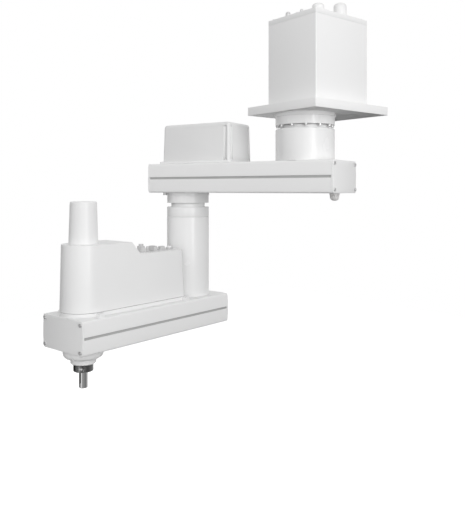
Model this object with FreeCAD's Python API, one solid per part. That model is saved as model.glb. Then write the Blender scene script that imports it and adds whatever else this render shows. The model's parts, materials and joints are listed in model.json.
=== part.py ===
import FreeCAD, Part
import math
import os

from FreeCAD import Vector

# Ceiling-mounted four-axis arm with two beam links and a vertical quill.
# Millimetres, +Z up. The origin is the centre of the mounting holes on the
# top face of the base plate, and +X points to the front, where the first
# joint is offset. Heights are measured from that face.

# Driving dimensions of the links
UPPER_LENGTH = 350.0
FORE_LENGTH = 350.0
UPPER_TURN = -71.1
FORE_TURN = 81.3
FIRST_AXIS_X = 46.0
QUILL_STROKE = 180.0
RUN_GAP = 0.3
FIT_GAP = 0.05

# Base plate and its mounting holes
PLATE_X = 265.0
PLATE_Y = 227.0
PLATE_THICK = 20.0
PLATE_BEVEL = 1.0
MOUNT_PITCH_X = 240.0
MOUNT_PITCH_Y = 200.0
MOUNT_HOLE = 11.0
PLATE_BORE = 38.0

# Base housing, lid and what stands on the lid
HOUSING_X = 188.5
HOUSING_Y = 160.0
HOUSING_TALL = 204.0
HOUSING_WALL = 3.0
HOUSING_CORNER = 3.0
FOOT_SIZE = 16.0
FOOT_TALL = 8.0
LID_THICK = 12.0
LID_LIP = 1.0
LID_EDGE = 2.0
GLAND_PLACE = (-32.0, 45.0)
GLAND_RADIUS = 19.0
GLAND_TALL = 41.0
GLAND_HEX_TALL = 14.0
GLAND_BORE = 9.0
PLUG_PLACE = (48.0, 45.0)
PLUG_RADIUS = 16.5
PLUG_TALL = 24.0
PLUG_BORE = 12.0
SMALL_GLAND_PLACE = (64.0, -40.0)
SMALL_GLAND_RADIUS = 7.5
SMALL_GLAND_TALL = 20.0
AIR_PLACES = ((58.0, -15.0), (68.0, 10.0))
AIR_RADIUS = 5.0
AIR_TALL = 15.0
AIR_BORE = 2.0

# Stack of the first joint
FIRST_RING_RADIUS = 74.5
FIRST_RING_THICK = 9.0
FIRST_CASE_RADIUS = 72.0
FIRST_CASE_TALL = 20.0
FIRST_CASE_BORE = 50.0
FIRST_GAP = 9.0
FIRST_NECK_RADIUS = 59.0
FIRST_BOLT_CIRCLE = 66.0
FIRST_BOLTS = 12
FIRST_COLUMN_RADIUS = 72.0
FIRST_COLUMN_TALL = 78.0
FIRST_COLUMN_WALL = 12.0
FIRST_CABLE_BORE = 24.0
FIRST_BEARING_SPLIT = 42.0
SPLINE_RADIUS = 30.0
SPLINE_WALL = 2.0
SPLINE_FLOOR = 4.0
COLUMN_BEVEL = 2.0

# Beams of the two links
BEAM_WIDTH = 152.0
BEAM_TALL = 77.5
BEAM_BULGE = 2.3
BEAM_CORNER = 4.5
BEAM_WALL = 5.0
UPPER_BACK = 103.0
UPPER_FRONT = 79.5
FORE_BACK = 82.0
FORE_FRONT = 58.0
SLOT_MOUTH = 7.0
SLOT_INNER = 12.0
SLOT_DEPTH = 10.0
SLOT_LIP = 3.5
SLOT_WALL = 3.0
STRIP_RECESS = 1.5
STRIP_INSET = 3.0
BOSS_SIZE = 13.0
END_THICK = 4.0
END_SCREW_INSET = 8.5

# Stack and column of the second joint
SECOND_RING_RADIUS = 58.5
SECOND_RING_THICK = 7.5
SECOND_CASE_RADIUS = 57.0
SECOND_CASE_TALL = 20.0
SECOND_CASE_BORE = 40.0
SECOND_GAP = 11.0
SECOND_NECK_RADIUS = 46.0
SECOND_BOLT_CIRCLE = 50.5
SECOND_BOLTS = 8
CAP_RADIUS = 57.3
CAP_TALL = 27.0
SECOND_COLUMN_RADIUS = 57.5
SECOND_COLUMN_TALL = 213.5
SECOND_COLUMN_WALL = 10.0
SECOND_CABLE_BORE = 22.0
SECOND_BEARING_SPLIT = 33.0
GEAR_CASE_RADIUS = 36.0
GEAR_CASE_WALL = 6.0
GEAR_FOOT_RADIUS = 48.0

# Cover of the second motor
MOTOR_COVER_BACK = 168.0
MOTOR_COVER_FRONT = 44.5
MOTOR_COVER_HALF = 57.0
MOTOR_COVER_TALL = 98.5
MOTOR_COVER_WALL = 3.0
MOTOR_COVER_CORNER = 8.0
COVER_FOOT_THICK = 6.0
COVER_FOOT_FRONT = 10.0
COVER_FOOT_SIDE = 1.5
FLUTE_RADIUS = 5.0
FLUTE_INSET = 13.0
FLUTE_DEEP = 1.4

# Motors
MOTOR_SIDE_BIG = 80.0
MOTOR_TALL_BIG = 115.0
MOTOR_SIDE_MID = 60.0
MOTOR_TALL_MID = 88.0
MOTOR_FLANGE_MID = 76.0
MOTOR_SIDE_SMALL = 58.0
MOTOR_TALL_SMALL = 105.0
MOTOR_FLANGE_THICK = 8.0
MOTOR_CORNER = 5.0
MOTOR_SHAFT = 7.0
SHAFT_HOLE_DEPTH = 30.0
SMALL_SHAFT = 5.0
PULLEY_SHAFT_UP = 24.0

# Status lamp and stop block under the upper beam
LAMP_BEYOND = 76.7
LAMP_RADIUS = 12.0
LAMP_TALL = 18.0
LAMP_BASE_TALL = 5.0
STOP_BLOCK_SIZE = 9.0
STOP_BLOCK_TALL = 7.0
STOP_BLOCK_TURN = 32.0

# Forearm cover
FORE_COVER_HALF_LOW = 54.0
FORE_COVER_HALF_HIGH = 50.5
COVER_TO_COLUMN = 10.5
COVER_REAR_DRAFT = 6.0
FORE_COVER_TALL = 152.5
FORE_COVER_WALL = 3.0
FORE_COVER_REAR_CORNER = 7.0
STEP_DROP = 30.0
STEP_LOW_LENGTH = 150.5
STEP_SLOPE_LENGTH = 26.5
RIM_THICK = 9.0
RIM_PROUD = 2.5
RIM_WIDTH = 9.0
TAB_SIZE = 14.0
TAB_PROUD = 8.0
REAR_TAB_INSET = 6.0

# Fittings on the low step of the forearm cover, from the cover's rear forward
FITTING_SIDE = 20.0
VALVE_FROM_REAR = 122.0
VALVE_SIZE = (14.0, 16.0, 20.0)
ELBOW_FROM_REAR = 101.0
ELBOW_RADIUS = 4.0
ELBOW_TALL = 12.5
SOCKET_FROM_REAR = 82.0
SOCKET_SIZE = (11.0, 20.0, 12.8)
DSUB_FROM_REAR = 52.0
DSUB_SIZE = (26.0, 12.0, 10.0)
BUTTON_FROM_REAR = 24.0
BUTTON_RADIUS = 6.0
BUTTON_TALL = 9.0
BUTTON_TRAVEL = 3.0
BUTTON_COLLAR_RADIUS = 9.0
BUTTON_COLLAR_TALL = 5.0

# Sleeve over the top of the quill
SLEEVE_RADIUS_LOW = 34.0
SLEEVE_RADIUS_HIGH = 31.0
SLEEVE_TALL = 98.5
SLEEVE_WALL = 3.0
SLEEVE_ROUND = 4.0

# Quill, its nuts and the housings that carry them
SHAFT_RADIUS = 10.0
SHAFT_BORE = 5.0
SHAFT_BELOW = 94.0
SHAFT_TOP_GAP = 9.0
SHAFT_CHAMFER = 1.5
GROOVE_RADIUS = 1.3
GROOVE_TURN = 100.0
FLAT_DEPTH = 1.2
FLAT_LOW = 12.0
FLAT_HIGH = 20.0
NUT_RADIUS = 17.0
NUT_FLANGE = 20.0
HOUSING_BORE = 26.0
PULLEY_RADIUS = 24.0
PULLEY_FLANGE = 27.0
PULLEY_WIDE = 14.0
PULLEY_LIP = 1.0
MOTOR_PULLEY_RADIUS = 16.0
MOTOR_PULLEY_FLANGE = 19.0
BELT_THICK = 3.0
BELT_WIDE = 11.0
BEARING_TALL = 12.0
THIRD_MOTOR_BACK = 105.0
FOURTH_MOTOR_BACK = 200.0
THIRD_BELT_DROP = 12.0
FOURTH_BELT_DROP = 39.0
NUT_HOUSING_RADIUS = 36.0
NUT_HOUSING_FOOT = 44.0
NUT_HOUSING_TALL = 40.0
NUT_FOOT_THICK = 6.0
DOME_RADIUS = 48.5
DOME_TALL = 24.0
DOME_LOW_RADIUS = 31.0
DOME_FLANGE = 6.0
DOME_SCREW_INSET = 6.5
DOME_SPIGOT = 32.0
DOME_SPIGOT_TALL = 18.0
SEAL_RADIUS = 29.5
SEAL_TALL = 12.5
SEAL_BEVEL = 2.0
COLLAR_GAP = 2.0
COLLAR_RADIUS = 23.0
COLLAR_TALL = 15.6
COLLAR_SLIT = 2.5
COLLAR_SCREW = (5.0, 5.0, 3.0, 22.0)
COLLAR_SCREW_OUT = 16.5
COLLAR_SCREW_SIDE = 9.0
RELIEF_DEPTH = 0.4
RELIEF_TALL = 2.0
TOP_COLLAR_RADIUS = 15.0
TOP_COLLAR_TALL = 10.0
TOP_COLLAR_DOWN = 6.0

# Screws: head radius, head height, shank radius, shank length
SCREW_M6 = (5.0, 6.0, 3.0, 16.0)
SCREW_M5_LONG = (4.25, 5.0, 2.5, 40.0)
SCREW_M5 = (4.25, 2.5, 2.5, 12.0)
SCREW_M4 = (3.5, 4.0, 2.0, 10.0)
SCREW_M3 = (2.75, 3.0, 1.5, 8.0)
HOLE_SPARE = 2.0

# Places behind the quill axis that follow from the sizes above
FORE_COVER_REAR_LOW = FORE_LENGTH - SECOND_COLUMN_RADIUS - COVER_TO_COLUMN
FORE_COVER_REAR_HIGH = FORE_COVER_REAR_LOW - COVER_REAR_DRAFT
STEP_LOW_BACK = FORE_COVER_REAR_LOW - STEP_LOW_LENGTH
STEP_HIGH_BACK = STEP_LOW_BACK - STEP_SLOPE_LENGTH
VALVE_BACK = FORE_COVER_REAR_LOW - VALVE_FROM_REAR
ELBOW_BACK = FORE_COVER_REAR_LOW - ELBOW_FROM_REAR
SOCKET_BACK = FORE_COVER_REAR_LOW - SOCKET_FROM_REAR
DSUB_BACK = FORE_COVER_REAR_LOW - DSUB_FROM_REAR
BUTTON_BACK = FORE_COVER_REAR_LOW - BUTTON_FROM_REAR

# Heights that follow from the sizes above
PLATE_LOW = -PLATE_THICK
FIRST_RING_LOW = PLATE_LOW - FIRST_RING_THICK
FIRST_CASE_LOW = FIRST_RING_LOW - FIRST_CASE_TALL
FIRST_COLUMN_HIGH = FIRST_CASE_LOW - FIRST_GAP
UPPER_HIGH = FIRST_COLUMN_HIGH - FIRST_COLUMN_TALL
UPPER_LOW = UPPER_HIGH - BEAM_TALL
SECOND_RING_LOW = UPPER_LOW - SECOND_RING_THICK
SECOND_CASE_LOW = SECOND_RING_LOW - SECOND_CASE_TALL
CAP_HIGH = SECOND_CASE_LOW - SECOND_GAP
CAP_LOW = CAP_HIGH - CAP_TALL
FORE_HIGH = CAP_LOW - SECOND_COLUMN_TALL
FORE_LOW = FORE_HIGH - BEAM_TALL
RIM_HIGH = FORE_HIGH + RIM_THICK
COVER_TOP = RIM_HIGH + FORE_COVER_TALL
STEP_TOP = COVER_TOP - STEP_DROP
SLEEVE_TOP = COVER_TOP + SLEEVE_TALL
DOME_LOW = FORE_LOW - DOME_TALL
SEAL_LOW = DOME_LOW - SEAL_TALL
COLLAR_HIGH = SEAL_LOW - COLLAR_GAP
COLLAR_LOW = COLLAR_HIGH - COLLAR_TALL
SHAFT_LOW = FORE_LOW - SHAFT_BELOW
SHAFT_HIGH = SLEEVE_TOP - SLEEVE_WALL - SHAFT_TOP_GAP
THIRD_BELT_HIGH = FORE_HIGH - THIRD_BELT_DROP
FOURTH_BELT_HIGH = FORE_HIGH - FOURTH_BELT_DROP
NUT_HOUSING_HIGH = FORE_HIGH + NUT_HOUSING_TALL
FIRST_NECK_TOP = FIRST_CASE_LOW - 0.5
SECOND_NECK_TOP = SECOND_CASE_LOW - 0.5

BELOW = Vector(0, 0, -1)
ABOVE = Vector(0, 0, 1)


def cylinder(radius, low, high, x=0.0, y=0.0):
    """Upright round solid between two heights."""
    return Part.makeCylinder(radius, high - low, Vector(x, y, low))


def tube(inner, outer, low, high, x=0.0, y=0.0):
    """Upright ring between two heights."""
    return cylinder(outer, low, high, x, y).cut(cylinder(inner, low, high, x, y))


def block(x_low, x_high, y_low, y_high, low, high):
    """Straight block between corner values."""
    return Part.makeBox(x_high - x_low, y_high - y_low, high - low, Vector(x_low, y_low, low))


def centred(size_x, size_y, low, high, x=0.0, y=0.0):
    """Straight block centred on a point."""
    return block(x - size_x / 2, x + size_x / 2, y - size_y / 2, y + size_y / 2, low, high)


def upright_edges(shape, reach=0.0):
    """Straight edges that run along Z over the shape's height."""
    tall = shape.BoundBox.ZLength
    found = []
    for edge in shape.Edges:
        box = edge.BoundBox
        flat = max(box.XLength, box.YLength) < 0.001
        if flat and abs(box.ZLength - tall) < 0.001 + reach:
            found.append(edge)
    return found


def edges_at(shape, height):
    """Edges that lie flat at one height."""
    found = []
    for edge in shape.Edges:
        box = edge.BoundBox
        if abs(box.ZMin - height) < 0.001 and abs(box.ZMax - height) < 0.001:
            found.append(edge)
    return found


def soft_block(size_x, size_y, low, high, corner, x=0.0, y=0.0):
    """Block with its four upright edges rounded."""
    body = centred(size_x, size_y, low, high, x, y)
    return body.makeFillet(corner, upright_edges(body))


def around(count, radius, start=0.0):
    """Evenly spaced places on a circle."""
    places = []
    for index in range(count):
        angle = math.radians(start + 360.0 * index / count)
        places.append((radius * math.cos(angle), radius * math.sin(angle)))
    return places


def corners(half_x, half_y, x=0.0, y=0.0):
    """The four corners of a rectangle."""
    return [(x + sx * half_x, y + sy * half_y) for sx in (-1, 1) for sy in (-1, 1)]


def socket_screw(size):
    """Socket head screw, head upward from height zero, shank below it."""
    head, tall, shank, length = size
    body = cylinder(head, 0.0, tall)
    body = body.makeChamfer(0.12 * head, edges_at(body, tall))
    points = [Vector(px, py, 0.4 * tall) for px, py in around(6, 0.52 * head)]
    recess = Part.Face(Part.makePolygon(points + points[:1])).extrude(Vector(0, 0, tall))
    return body.cut(recess).fuse(cylinder(shank, -length, 0.0)).removeSplitter()


def screws_at(size, places, height, down=False):
    """Group of equal screws, heads up, or heads down when asked."""
    group = []
    for x, y in places:
        screw = socket_screw(size)
        if down:
            screw.rotate(Vector(0, 0, 0), Vector(1, 0, 0), 180.0)
        screw.translate(Vector(x, y, height))
        group.append(screw)
    return group


def drill(shape, size, places, low, high):
    """Clearance holes for a screw size through a stretch of height."""
    for x, y in places:
        shape = shape.cut(cylinder(size[2] + FIT_GAP, low, high, x, y))
    return shape


def base_plate():
    body = centred(PLATE_X, PLATE_Y, PLATE_LOW, 0.0)
    body = body.makeChamfer(PLATE_BEVEL, upright_edges(body))
    body = body.cut(cylinder(PLATE_BORE, PLATE_LOW, 0.0, FIRST_AXIS_X))
    for x, y in corners(MOUNT_PITCH_X / 2, MOUNT_PITCH_Y / 2):
        body = body.cut(cylinder(MOUNT_HOLE / 2, PLATE_LOW, 0.0, x, y))
    ring_holes = [(x + FIRST_AXIS_X, y) for x, y in first_ring_places()]
    depth = SCREW_M5_LONG[3] - FIRST_RING_THICK - FIRST_CASE_TALL + HOLE_SPARE
    body = drill(body, SCREW_M5_LONG, ring_holes, PLATE_LOW, PLATE_LOW + max(depth, HOLE_SPARE))
    body = drill(body, SCREW_M5, housing_foot_places(), -SCREW_M5[3] - 1.0, 0.0)
    return drill(body, SCREW_M5, motor_flange_places(), -SCREW_M5[3] - 1.0, 0.0)


def first_ring_places():
    return around(FIRST_BOLTS, FIRST_BOLT_CIRCLE, 15.0)


def housing_foot_places():
    half_x = HOUSING_X / 2 - HOUSING_WALL - FOOT_SIZE / 2
    half_y = HOUSING_Y / 2 - HOUSING_WALL - FOOT_SIZE / 2
    return corners(half_x, half_y)


def motor_flange_places():
    return corners(MOTOR_SIDE_BIG / 2 - 6.0, MOTOR_SIDE_BIG / 2 - 6.0, FIRST_AXIS_X)


def base_housing():
    outer = soft_block(HOUSING_X, HOUSING_Y, 0.0, HOUSING_TALL, HOUSING_CORNER)
    inner_x = HOUSING_X - 2 * HOUSING_WALL
    inner_y = HOUSING_Y - 2 * HOUSING_WALL
    body = outer.cut(centred(inner_x, inner_y, 0.0, HOUSING_TALL))
    for x, y in housing_foot_places():
        body = body.fuse(centred(FOOT_SIZE, FOOT_SIZE, 0.0, FOOT_TALL, x, y))
        body = body.fuse(centred(FOOT_SIZE, FOOT_SIZE, HOUSING_TALL - FOOT_TALL, HOUSING_TALL, x, y))
    body = drill(body, SCREW_M5, housing_foot_places(), 0.0, FOOT_TALL)
    body = drill(body, SCREW_M4, housing_foot_places(), HOUSING_TALL - FOOT_TALL, HOUSING_TALL)
    return body.removeSplitter()


def base_lid():
    top = HOUSING_TALL + LID_THICK
    size_x = HOUSING_X + 2 * LID_LIP
    size_y = HOUSING_Y + 2 * LID_LIP
    body = soft_block(size_x, size_y, HOUSING_TALL, top, HOUSING_CORNER)
    body = body.makeChamfer(LID_EDGE, edges_at(body, top))
    hollow_x = HOUSING_X - 2 * HOUSING_WALL - 2 * FOOT_SIZE
    hollow_y = HOUSING_Y - 2 * HOUSING_WALL
    body = body.cut(centred(hollow_x, hollow_y, HOUSING_TALL, top - HOUSING_WALL))
    body = drill(body, SCREW_M4, housing_foot_places(), HOUSING_TALL, top)
    body = body.cut(cylinder(GLAND_BORE, HOUSING_TALL, top, *GLAND_PLACE))
    body = body.cut(cylinder(PLUG_BORE, HOUSING_TALL, top, *PLUG_PLACE))
    body = body.cut(cylinder(SMALL_GLAND_RADIUS / 2, HOUSING_TALL, top, *SMALL_GLAND_PLACE))
    for x, y in AIR_PLACES:
        body = body.cut(cylinder(AIR_BORE, HOUSING_TALL, top, x, y))
    return body


def hexagon(radius, low, high, x, y):
    points = [Vector(x + px, y + py, low) for px, py in around(6, radius)]
    return Part.Face(Part.makePolygon(points + points[:1])).extrude(Vector(0, 0, high - low))


def cable_gland(radius, tall, hex_tall, bore, place):
    """Gland with a hexagon body and a domed clamping nut."""
    base = HOUSING_TALL + LID_THICK
    x, y = place
    lower = hexagon(radius, base, base + hex_tall, x, y)
    nut = cylinder(0.92 * radius, base + hex_tall, base + tall, x, y)
    nut = nut.makeFillet(0.4 * radius, edges_at(nut, base + tall))
    body = lower.fuse(nut).cut(cylinder(bore, base, base + tall, x, y))
    return body.removeSplitter()


def power_plug():
    """Round bayonet connector with a knurled coupling ring and its centre insert."""
    base = HOUSING_TALL + LID_THICK
    x, y = PLUG_PLACE
    shell = tube(PLUG_BORE, PLUG_RADIUS, base, base + PLUG_TALL, x, y)
    shell = shell.makeChamfer(1.5, edges_at(shell, base + PLUG_TALL)[:1])
    for px, py in around(16, PLUG_RADIUS):
        shell = shell.cut(cylinder(0.8, base + 8.0, base + PLUG_TALL, x + px, y + py))
    insert = cylinder(PLUG_BORE, base, base + PLUG_TALL - 8.0, x, y)
    return [shell, insert]


def air_fittings():
    base = HOUSING_TALL + LID_THICK
    group = []
    for x, y in AIR_PLACES:
        lower = hexagon(AIR_RADIUS, base, base + AIR_TALL / 2, x, y)
        upper = cylinder(0.8 * AIR_RADIUS, base + AIR_TALL / 2, base + AIR_TALL, x, y)
        group.append(lower.fuse(upper).cut(cylinder(AIR_BORE, base, base + AIR_TALL, x, y)))
    return group


def motor(side, tall, flange, low, shaft_hole):
    """Square motor: flange, body with rounded edges and a round rear cap."""
    flange_high = low + MOTOR_FLANGE_THICK
    cap_low = low + tall - 14.0
    body = soft_block(flange, flange, low, flange_high, MOTOR_CORNER)
    body = body.fuse(soft_block(side, side, flange_high, cap_low, MOTOR_CORNER))
    body = body.fuse(cylinder(0.46 * side, cap_low, low + tall))
    if shaft_hole:
        body = body.cut(cylinder(shaft_hole, low, low + SHAFT_HOLE_DEPTH))
    return body.removeSplitter()


def first_motor():
    body = motor(MOTOR_SIDE_BIG - 8.0, MOTOR_TALL_BIG, MOTOR_SIDE_BIG, 0.0, 0.0)
    places = [(x - FIRST_AXIS_X, y) for x, y in motor_flange_places()]
    for x, y in places:
        body = body.cut(cylinder(SCREW_M5[0] + 0.3, MOTOR_FLANGE_THICK, 16.0, x, y))
    body = drill(body, SCREW_M5, places, 0.0, MOTOR_FLANGE_THICK)
    return body.fuse(cylinder(MOTOR_SHAFT, PLATE_LOW + 4.0, 0.0))


def circular_spline(radius, outer, low, high):
    return tube(radius + RUN_GAP, outer - FIT_GAP, low, high)


def flex_cup(radius, low, high):
    """Thin output cup of the strain wave gear, floor downward."""
    body = cylinder(radius, low, high)
    body = body.cut(cylinder(radius - SPLINE_WALL, low + SPLINE_FLOOR, high))
    return body.cut(cylinder(radius / 2, low, low + SPLINE_FLOOR))


def wave_plug(radius, low, high):
    return tube(MOTOR_SHAFT + FIT_GAP, radius - SPLINE_WALL - RUN_GAP, low, high)


def first_mount_ring():
    body = tube(FIRST_CASE_BORE, FIRST_RING_RADIUS, FIRST_RING_LOW, PLATE_LOW)
    return drill(body, SCREW_M5_LONG, first_ring_places(), FIRST_RING_LOW, PLATE_LOW)


def first_bearing_case():
    body = tube(FIRST_CASE_BORE, FIRST_CASE_RADIUS, FIRST_CASE_LOW, FIRST_RING_LOW)
    return drill(body, SCREW_M5_LONG, first_ring_places(), FIRST_CASE_LOW, FIRST_RING_LOW)


def first_column():
    """Turning column: narrow neck, outer wall and a web with the cable bore."""
    body = cylinder(FIRST_COLUMN_RADIUS, UPPER_HIGH, FIRST_COLUMN_HIGH)
    body = body.makeChamfer(COLUMN_BEVEL, edges_at(body, FIRST_COLUMN_HIGH))
    body = body.fuse(cylinder(FIRST_NECK_RADIUS, FIRST_COLUMN_HIGH, FIRST_NECK_TOP))
    hollow = FIRST_COLUMN_RADIUS - FIRST_COLUMN_WALL
    body = body.cut(cylinder(hollow, UPPER_HIGH, FIRST_COLUMN_HIGH - FIRST_COLUMN_WALL))
    body = body.cut(cylinder(FIRST_CABLE_BORE, UPPER_HIGH, FIRST_NECK_TOP))
    high = UPPER_HIGH + SCREW_M5[3]
    return drill(body, SCREW_M5, first_column_places(), UPPER_HIGH, high).removeSplitter()


def first_column_places():
    return around(4, FIRST_COLUMN_RADIUS - FIRST_COLUMN_WALL / 2, 45.0)


def beam_outline(x_low, x_high, low):
    """Solid beam with gently crowned sides and rounded corners."""
    high = low + BEAM_TALL
    middle = (low + high) / 2
    half = BEAM_WIDTH / 2
    flat = half - BEAM_BULGE
    right = Part.Arc(Vector(x_low, flat, low), Vector(x_low, half, middle), Vector(x_low, flat, high))
    left = Part.Arc(Vector(x_low, -flat, high), Vector(x_low, -half, middle), Vector(x_low, -flat, low))
    bottom = Part.makeLine(Vector(x_low, -flat, low), Vector(x_low, flat, low))
    top = Part.makeLine(Vector(x_low, flat, high), Vector(x_low, -flat, high))
    wire = Part.Wire([bottom, right.toShape(), top, left.toShape()])
    body = Part.Face(wire).extrude(Vector(x_high - x_low, 0, 0))
    long_edges = []
    for edge in body.Edges:
        box = edge.BoundBox
        if box.XLength > 0.999 * (x_high - x_low) and box.YLength < 0.01:
            long_edges.append(edge)
    return body.makeFillet(BEAM_CORNER, long_edges)


def end_screw_places(low):
    half_y = BEAM_WIDTH / 2 - END_SCREW_INSET
    middle = low + BEAM_TALL / 2
    half_z = BEAM_TALL / 2 - END_SCREW_INSET
    return [(sy * half_y, middle + sz * half_z) for sy in (-1, 1) for sz in (-1, 1)]


def along_x(radius, x_low, x_high, y, z):
    return Part.makeCylinder(radius, x_high - x_low, Vector(x_low, y, z), Vector(1, 0, 0))


def beam(x_low, x_high, low):
    """Hollow extrusion with a slot on each side and four screw bosses."""
    high = low + BEAM_TALL
    middle = (low + high) / 2
    half = BEAM_WIDTH / 2
    inner = half - BEAM_BULGE - BEAM_WALL
    body = beam_outline(x_low, x_high, low)
    body = body.cut(block(x_low, x_high, -inner, inner, low + BEAM_WALL, high - BEAM_WALL))
    floor = half - SLOT_DEPTH
    wide = SLOT_INNER / 2 + SLOT_WALL
    for side in (-1, 1):
        y_pair = sorted((side * (floor - SLOT_WALL), side * (inner + 0.5)))
        body = body.fuse(block(x_low, x_high, *y_pair, middle - wide, middle + wide))
    for y, z in end_screw_places(low):
        y_pair = sorted((y - math.copysign(BOSS_SIZE / 2, y), math.copysign(inner + 0.5, y)))
        inward = math.copysign(BOSS_SIZE / 2, z - middle)
        edge = middle + math.copysign(BEAM_TALL / 2 - BEAM_WALL + 0.5, z - middle)
        z_pair = sorted((z - inward, edge))
        body = body.fuse(block(x_low, x_high, *y_pair, *z_pair))
    for side in (-1, 1):
        y_pair = sorted((side * floor, side * (half + 1.0)))
        body = body.cut(block(x_low, x_high, *y_pair, middle - SLOT_MOUTH / 2, middle + SLOT_MOUTH / 2))
        y_pair = sorted((side * floor, side * (half - SLOT_LIP)))
        body = body.cut(block(x_low, x_high, *y_pair, middle - SLOT_INNER / 2, middle + SLOT_INNER / 2))
    for y, z in end_screw_places(low):
        body = body.cut(along_x(SCREW_M5[2] + FIT_GAP, x_low, x_high, y, z))
    return body.removeSplitter()


def slot_strips(x_low, x_high, low):
    middle = low + BEAM_TALL / 2
    half = BEAM_WIDTH / 2
    tall = SLOT_MOUTH / 2 - FIT_GAP
    group = []
    for side in (-1, 1):
        y_pair = sorted((side * (half - SLOT_DEPTH), side * (half - STRIP_RECESS)))
        x_pair = (x_low + STRIP_INSET, x_high - STRIP_INSET)
        group.append(block(*x_pair, *y_pair, middle - tall, middle + tall))
    return group


def end_plate(x_low, x_high, low):
    body = beam_outline(x_low, x_high, low)
    for y, z in end_screw_places(low):
        body = body.cut(along_x(SCREW_M5[2] + FIT_GAP, x_low, x_high, y, z))
    return body


def end_screws(x_face, low, outward):
    """Four screws through an end plate; outward is the sign of X they face."""
    group = []
    for y, z in end_screw_places(low):
        screw = socket_screw(SCREW_M5)
        screw.rotate(Vector(0, 0, 0), Vector(0, 1, 0), 90.0 * outward)
        screw.translate(Vector(x_face, y, z))
        group.append(screw)
    return group


def upper_beam():
    body = beam(END_THICK - UPPER_BACK, UPPER_LENGTH + UPPER_FRONT - END_THICK, UPPER_LOW)
    inside_high = UPPER_HIGH - BEAM_WALL
    body = body.cut(cylinder(FIRST_CABLE_BORE, inside_high, UPPER_HIGH))
    body = drill(body, SCREW_M5, first_column_places(), inside_high, UPPER_HIGH)
    body = body.cut(cylinder(GEAR_CASE_RADIUS + RUN_GAP, inside_high, UPPER_HIGH, UPPER_LENGTH))
    floor_high = UPPER_LOW + BEAM_WALL
    body = body.cut(cylinder(SECOND_CASE_BORE, UPPER_LOW, floor_high, UPPER_LENGTH))
    ring_places = [(x + UPPER_LENGTH, y) for x, y in second_ring_places()]
    body = drill(body, SCREW_M4, ring_places, UPPER_LOW, floor_high)
    body = drill(body, SCREW_M3, cover_screw_places(), inside_high, UPPER_HIGH)
    body = drill(body, SCREW_M3, [(-LAMP_BEYOND, 0.0)], UPPER_LOW, floor_high)
    return body


def first_column_screws():
    return screws_at(SCREW_M5, first_column_places(), UPPER_HIGH - BEAM_WALL, down=True)


def second_ring_places():
    return around(SECOND_BOLTS, SECOND_BOLT_CIRCLE, 22.5)


def second_mount_ring():
    body = tube(SECOND_CASE_BORE, SECOND_RING_RADIUS, SECOND_RING_LOW, UPPER_LOW)
    return drill(body, SCREW_M4, second_ring_places(), SECOND_RING_LOW, UPPER_LOW)


def second_bearing_case():
    """Bearing case of the second joint, its screw heads sunk from below."""
    body = tube(SECOND_CASE_BORE, SECOND_CASE_RADIUS, SECOND_CASE_LOW, SECOND_RING_LOW)
    body = body.makeChamfer(1.0, edges_at(body, SECOND_CASE_LOW)[:1])
    sunk = SECOND_RING_LOW - 4.0
    for x, y in second_ring_places():
        body = body.cut(cylinder(SCREW_M4[0] + 0.2, SECOND_CASE_LOW, sunk, x, y))
    return drill(body, SCREW_M4, second_ring_places(), sunk, SECOND_RING_LOW)


def second_ring_screws():
    return screws_at(SCREW_M4, second_ring_places(), SECOND_RING_LOW - 4.0, down=True)


def second_gear_case():
    """Footed tube inside the beam that ties the motor to the gear below."""
    low = UPPER_LOW + BEAM_WALL
    bore = GEAR_CASE_RADIUS - GEAR_CASE_WALL
    foot = tube(bore, GEAR_FOOT_RADIUS, low, low + GEAR_CASE_WALL)
    return tube(bore, GEAR_CASE_RADIUS, low, UPPER_HIGH).fuse(foot).removeSplitter()


def second_motor():
    body = motor(MOTOR_SIDE_MID, MOTOR_TALL_MID, MOTOR_FLANGE_MID, UPPER_HIGH, 0.0)
    return body.fuse(cylinder(MOTOR_SHAFT, SECOND_RING_LOW + 3.0, UPPER_HIGH)).removeSplitter()


def cover_foot():
    """Flange under the second motor's cover."""
    back = UPPER_LENGTH - MOTOR_COVER_BACK - COVER_FOOT_SIDE
    front = UPPER_LENGTH + MOTOR_COVER_FRONT + COVER_FOOT_FRONT
    half = MOTOR_COVER_HALF + COVER_FOOT_SIDE
    high = UPPER_HIGH + COVER_FOOT_THICK
    body = soft_block(front - back, 2 * half, UPPER_HIGH, high, 6.0, (front + back) / 2)
    inner_back = UPPER_LENGTH - MOTOR_COVER_BACK + MOTOR_COVER_CORNER + FLUTE_RADIUS
    inner_front = UPPER_LENGTH + MOTOR_FLANGE_MID / 2 + 0.5
    inner_half = MOTOR_FLANGE_MID / 2 + 8.0
    body = body.cut(block(inner_back, inner_front, -inner_half, inner_half, UPPER_HIGH, high))
    return drill(body, SCREW_M3, cover_screw_places(), UPPER_HIGH, high)


def cover_screw_places():
    """Screws at the foot of the flutes near the cover's corners."""
    back = UPPER_LENGTH - MOTOR_COVER_BACK
    front = UPPER_LENGTH + MOTOR_COVER_FRONT - FLUTE_DEEP
    side = MOTOR_COVER_HALF - FLUTE_DEEP
    inset = MOTOR_COVER_HALF - FLUTE_INSET
    places = [(back + FLUTE_INSET, side), (back + FLUTE_INSET, -side)]
    places += [(back + FLUTE_DEEP, inset), (back + FLUTE_DEEP, -inset)]
    return places + [(front, inset), (front, -inset)]


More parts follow.
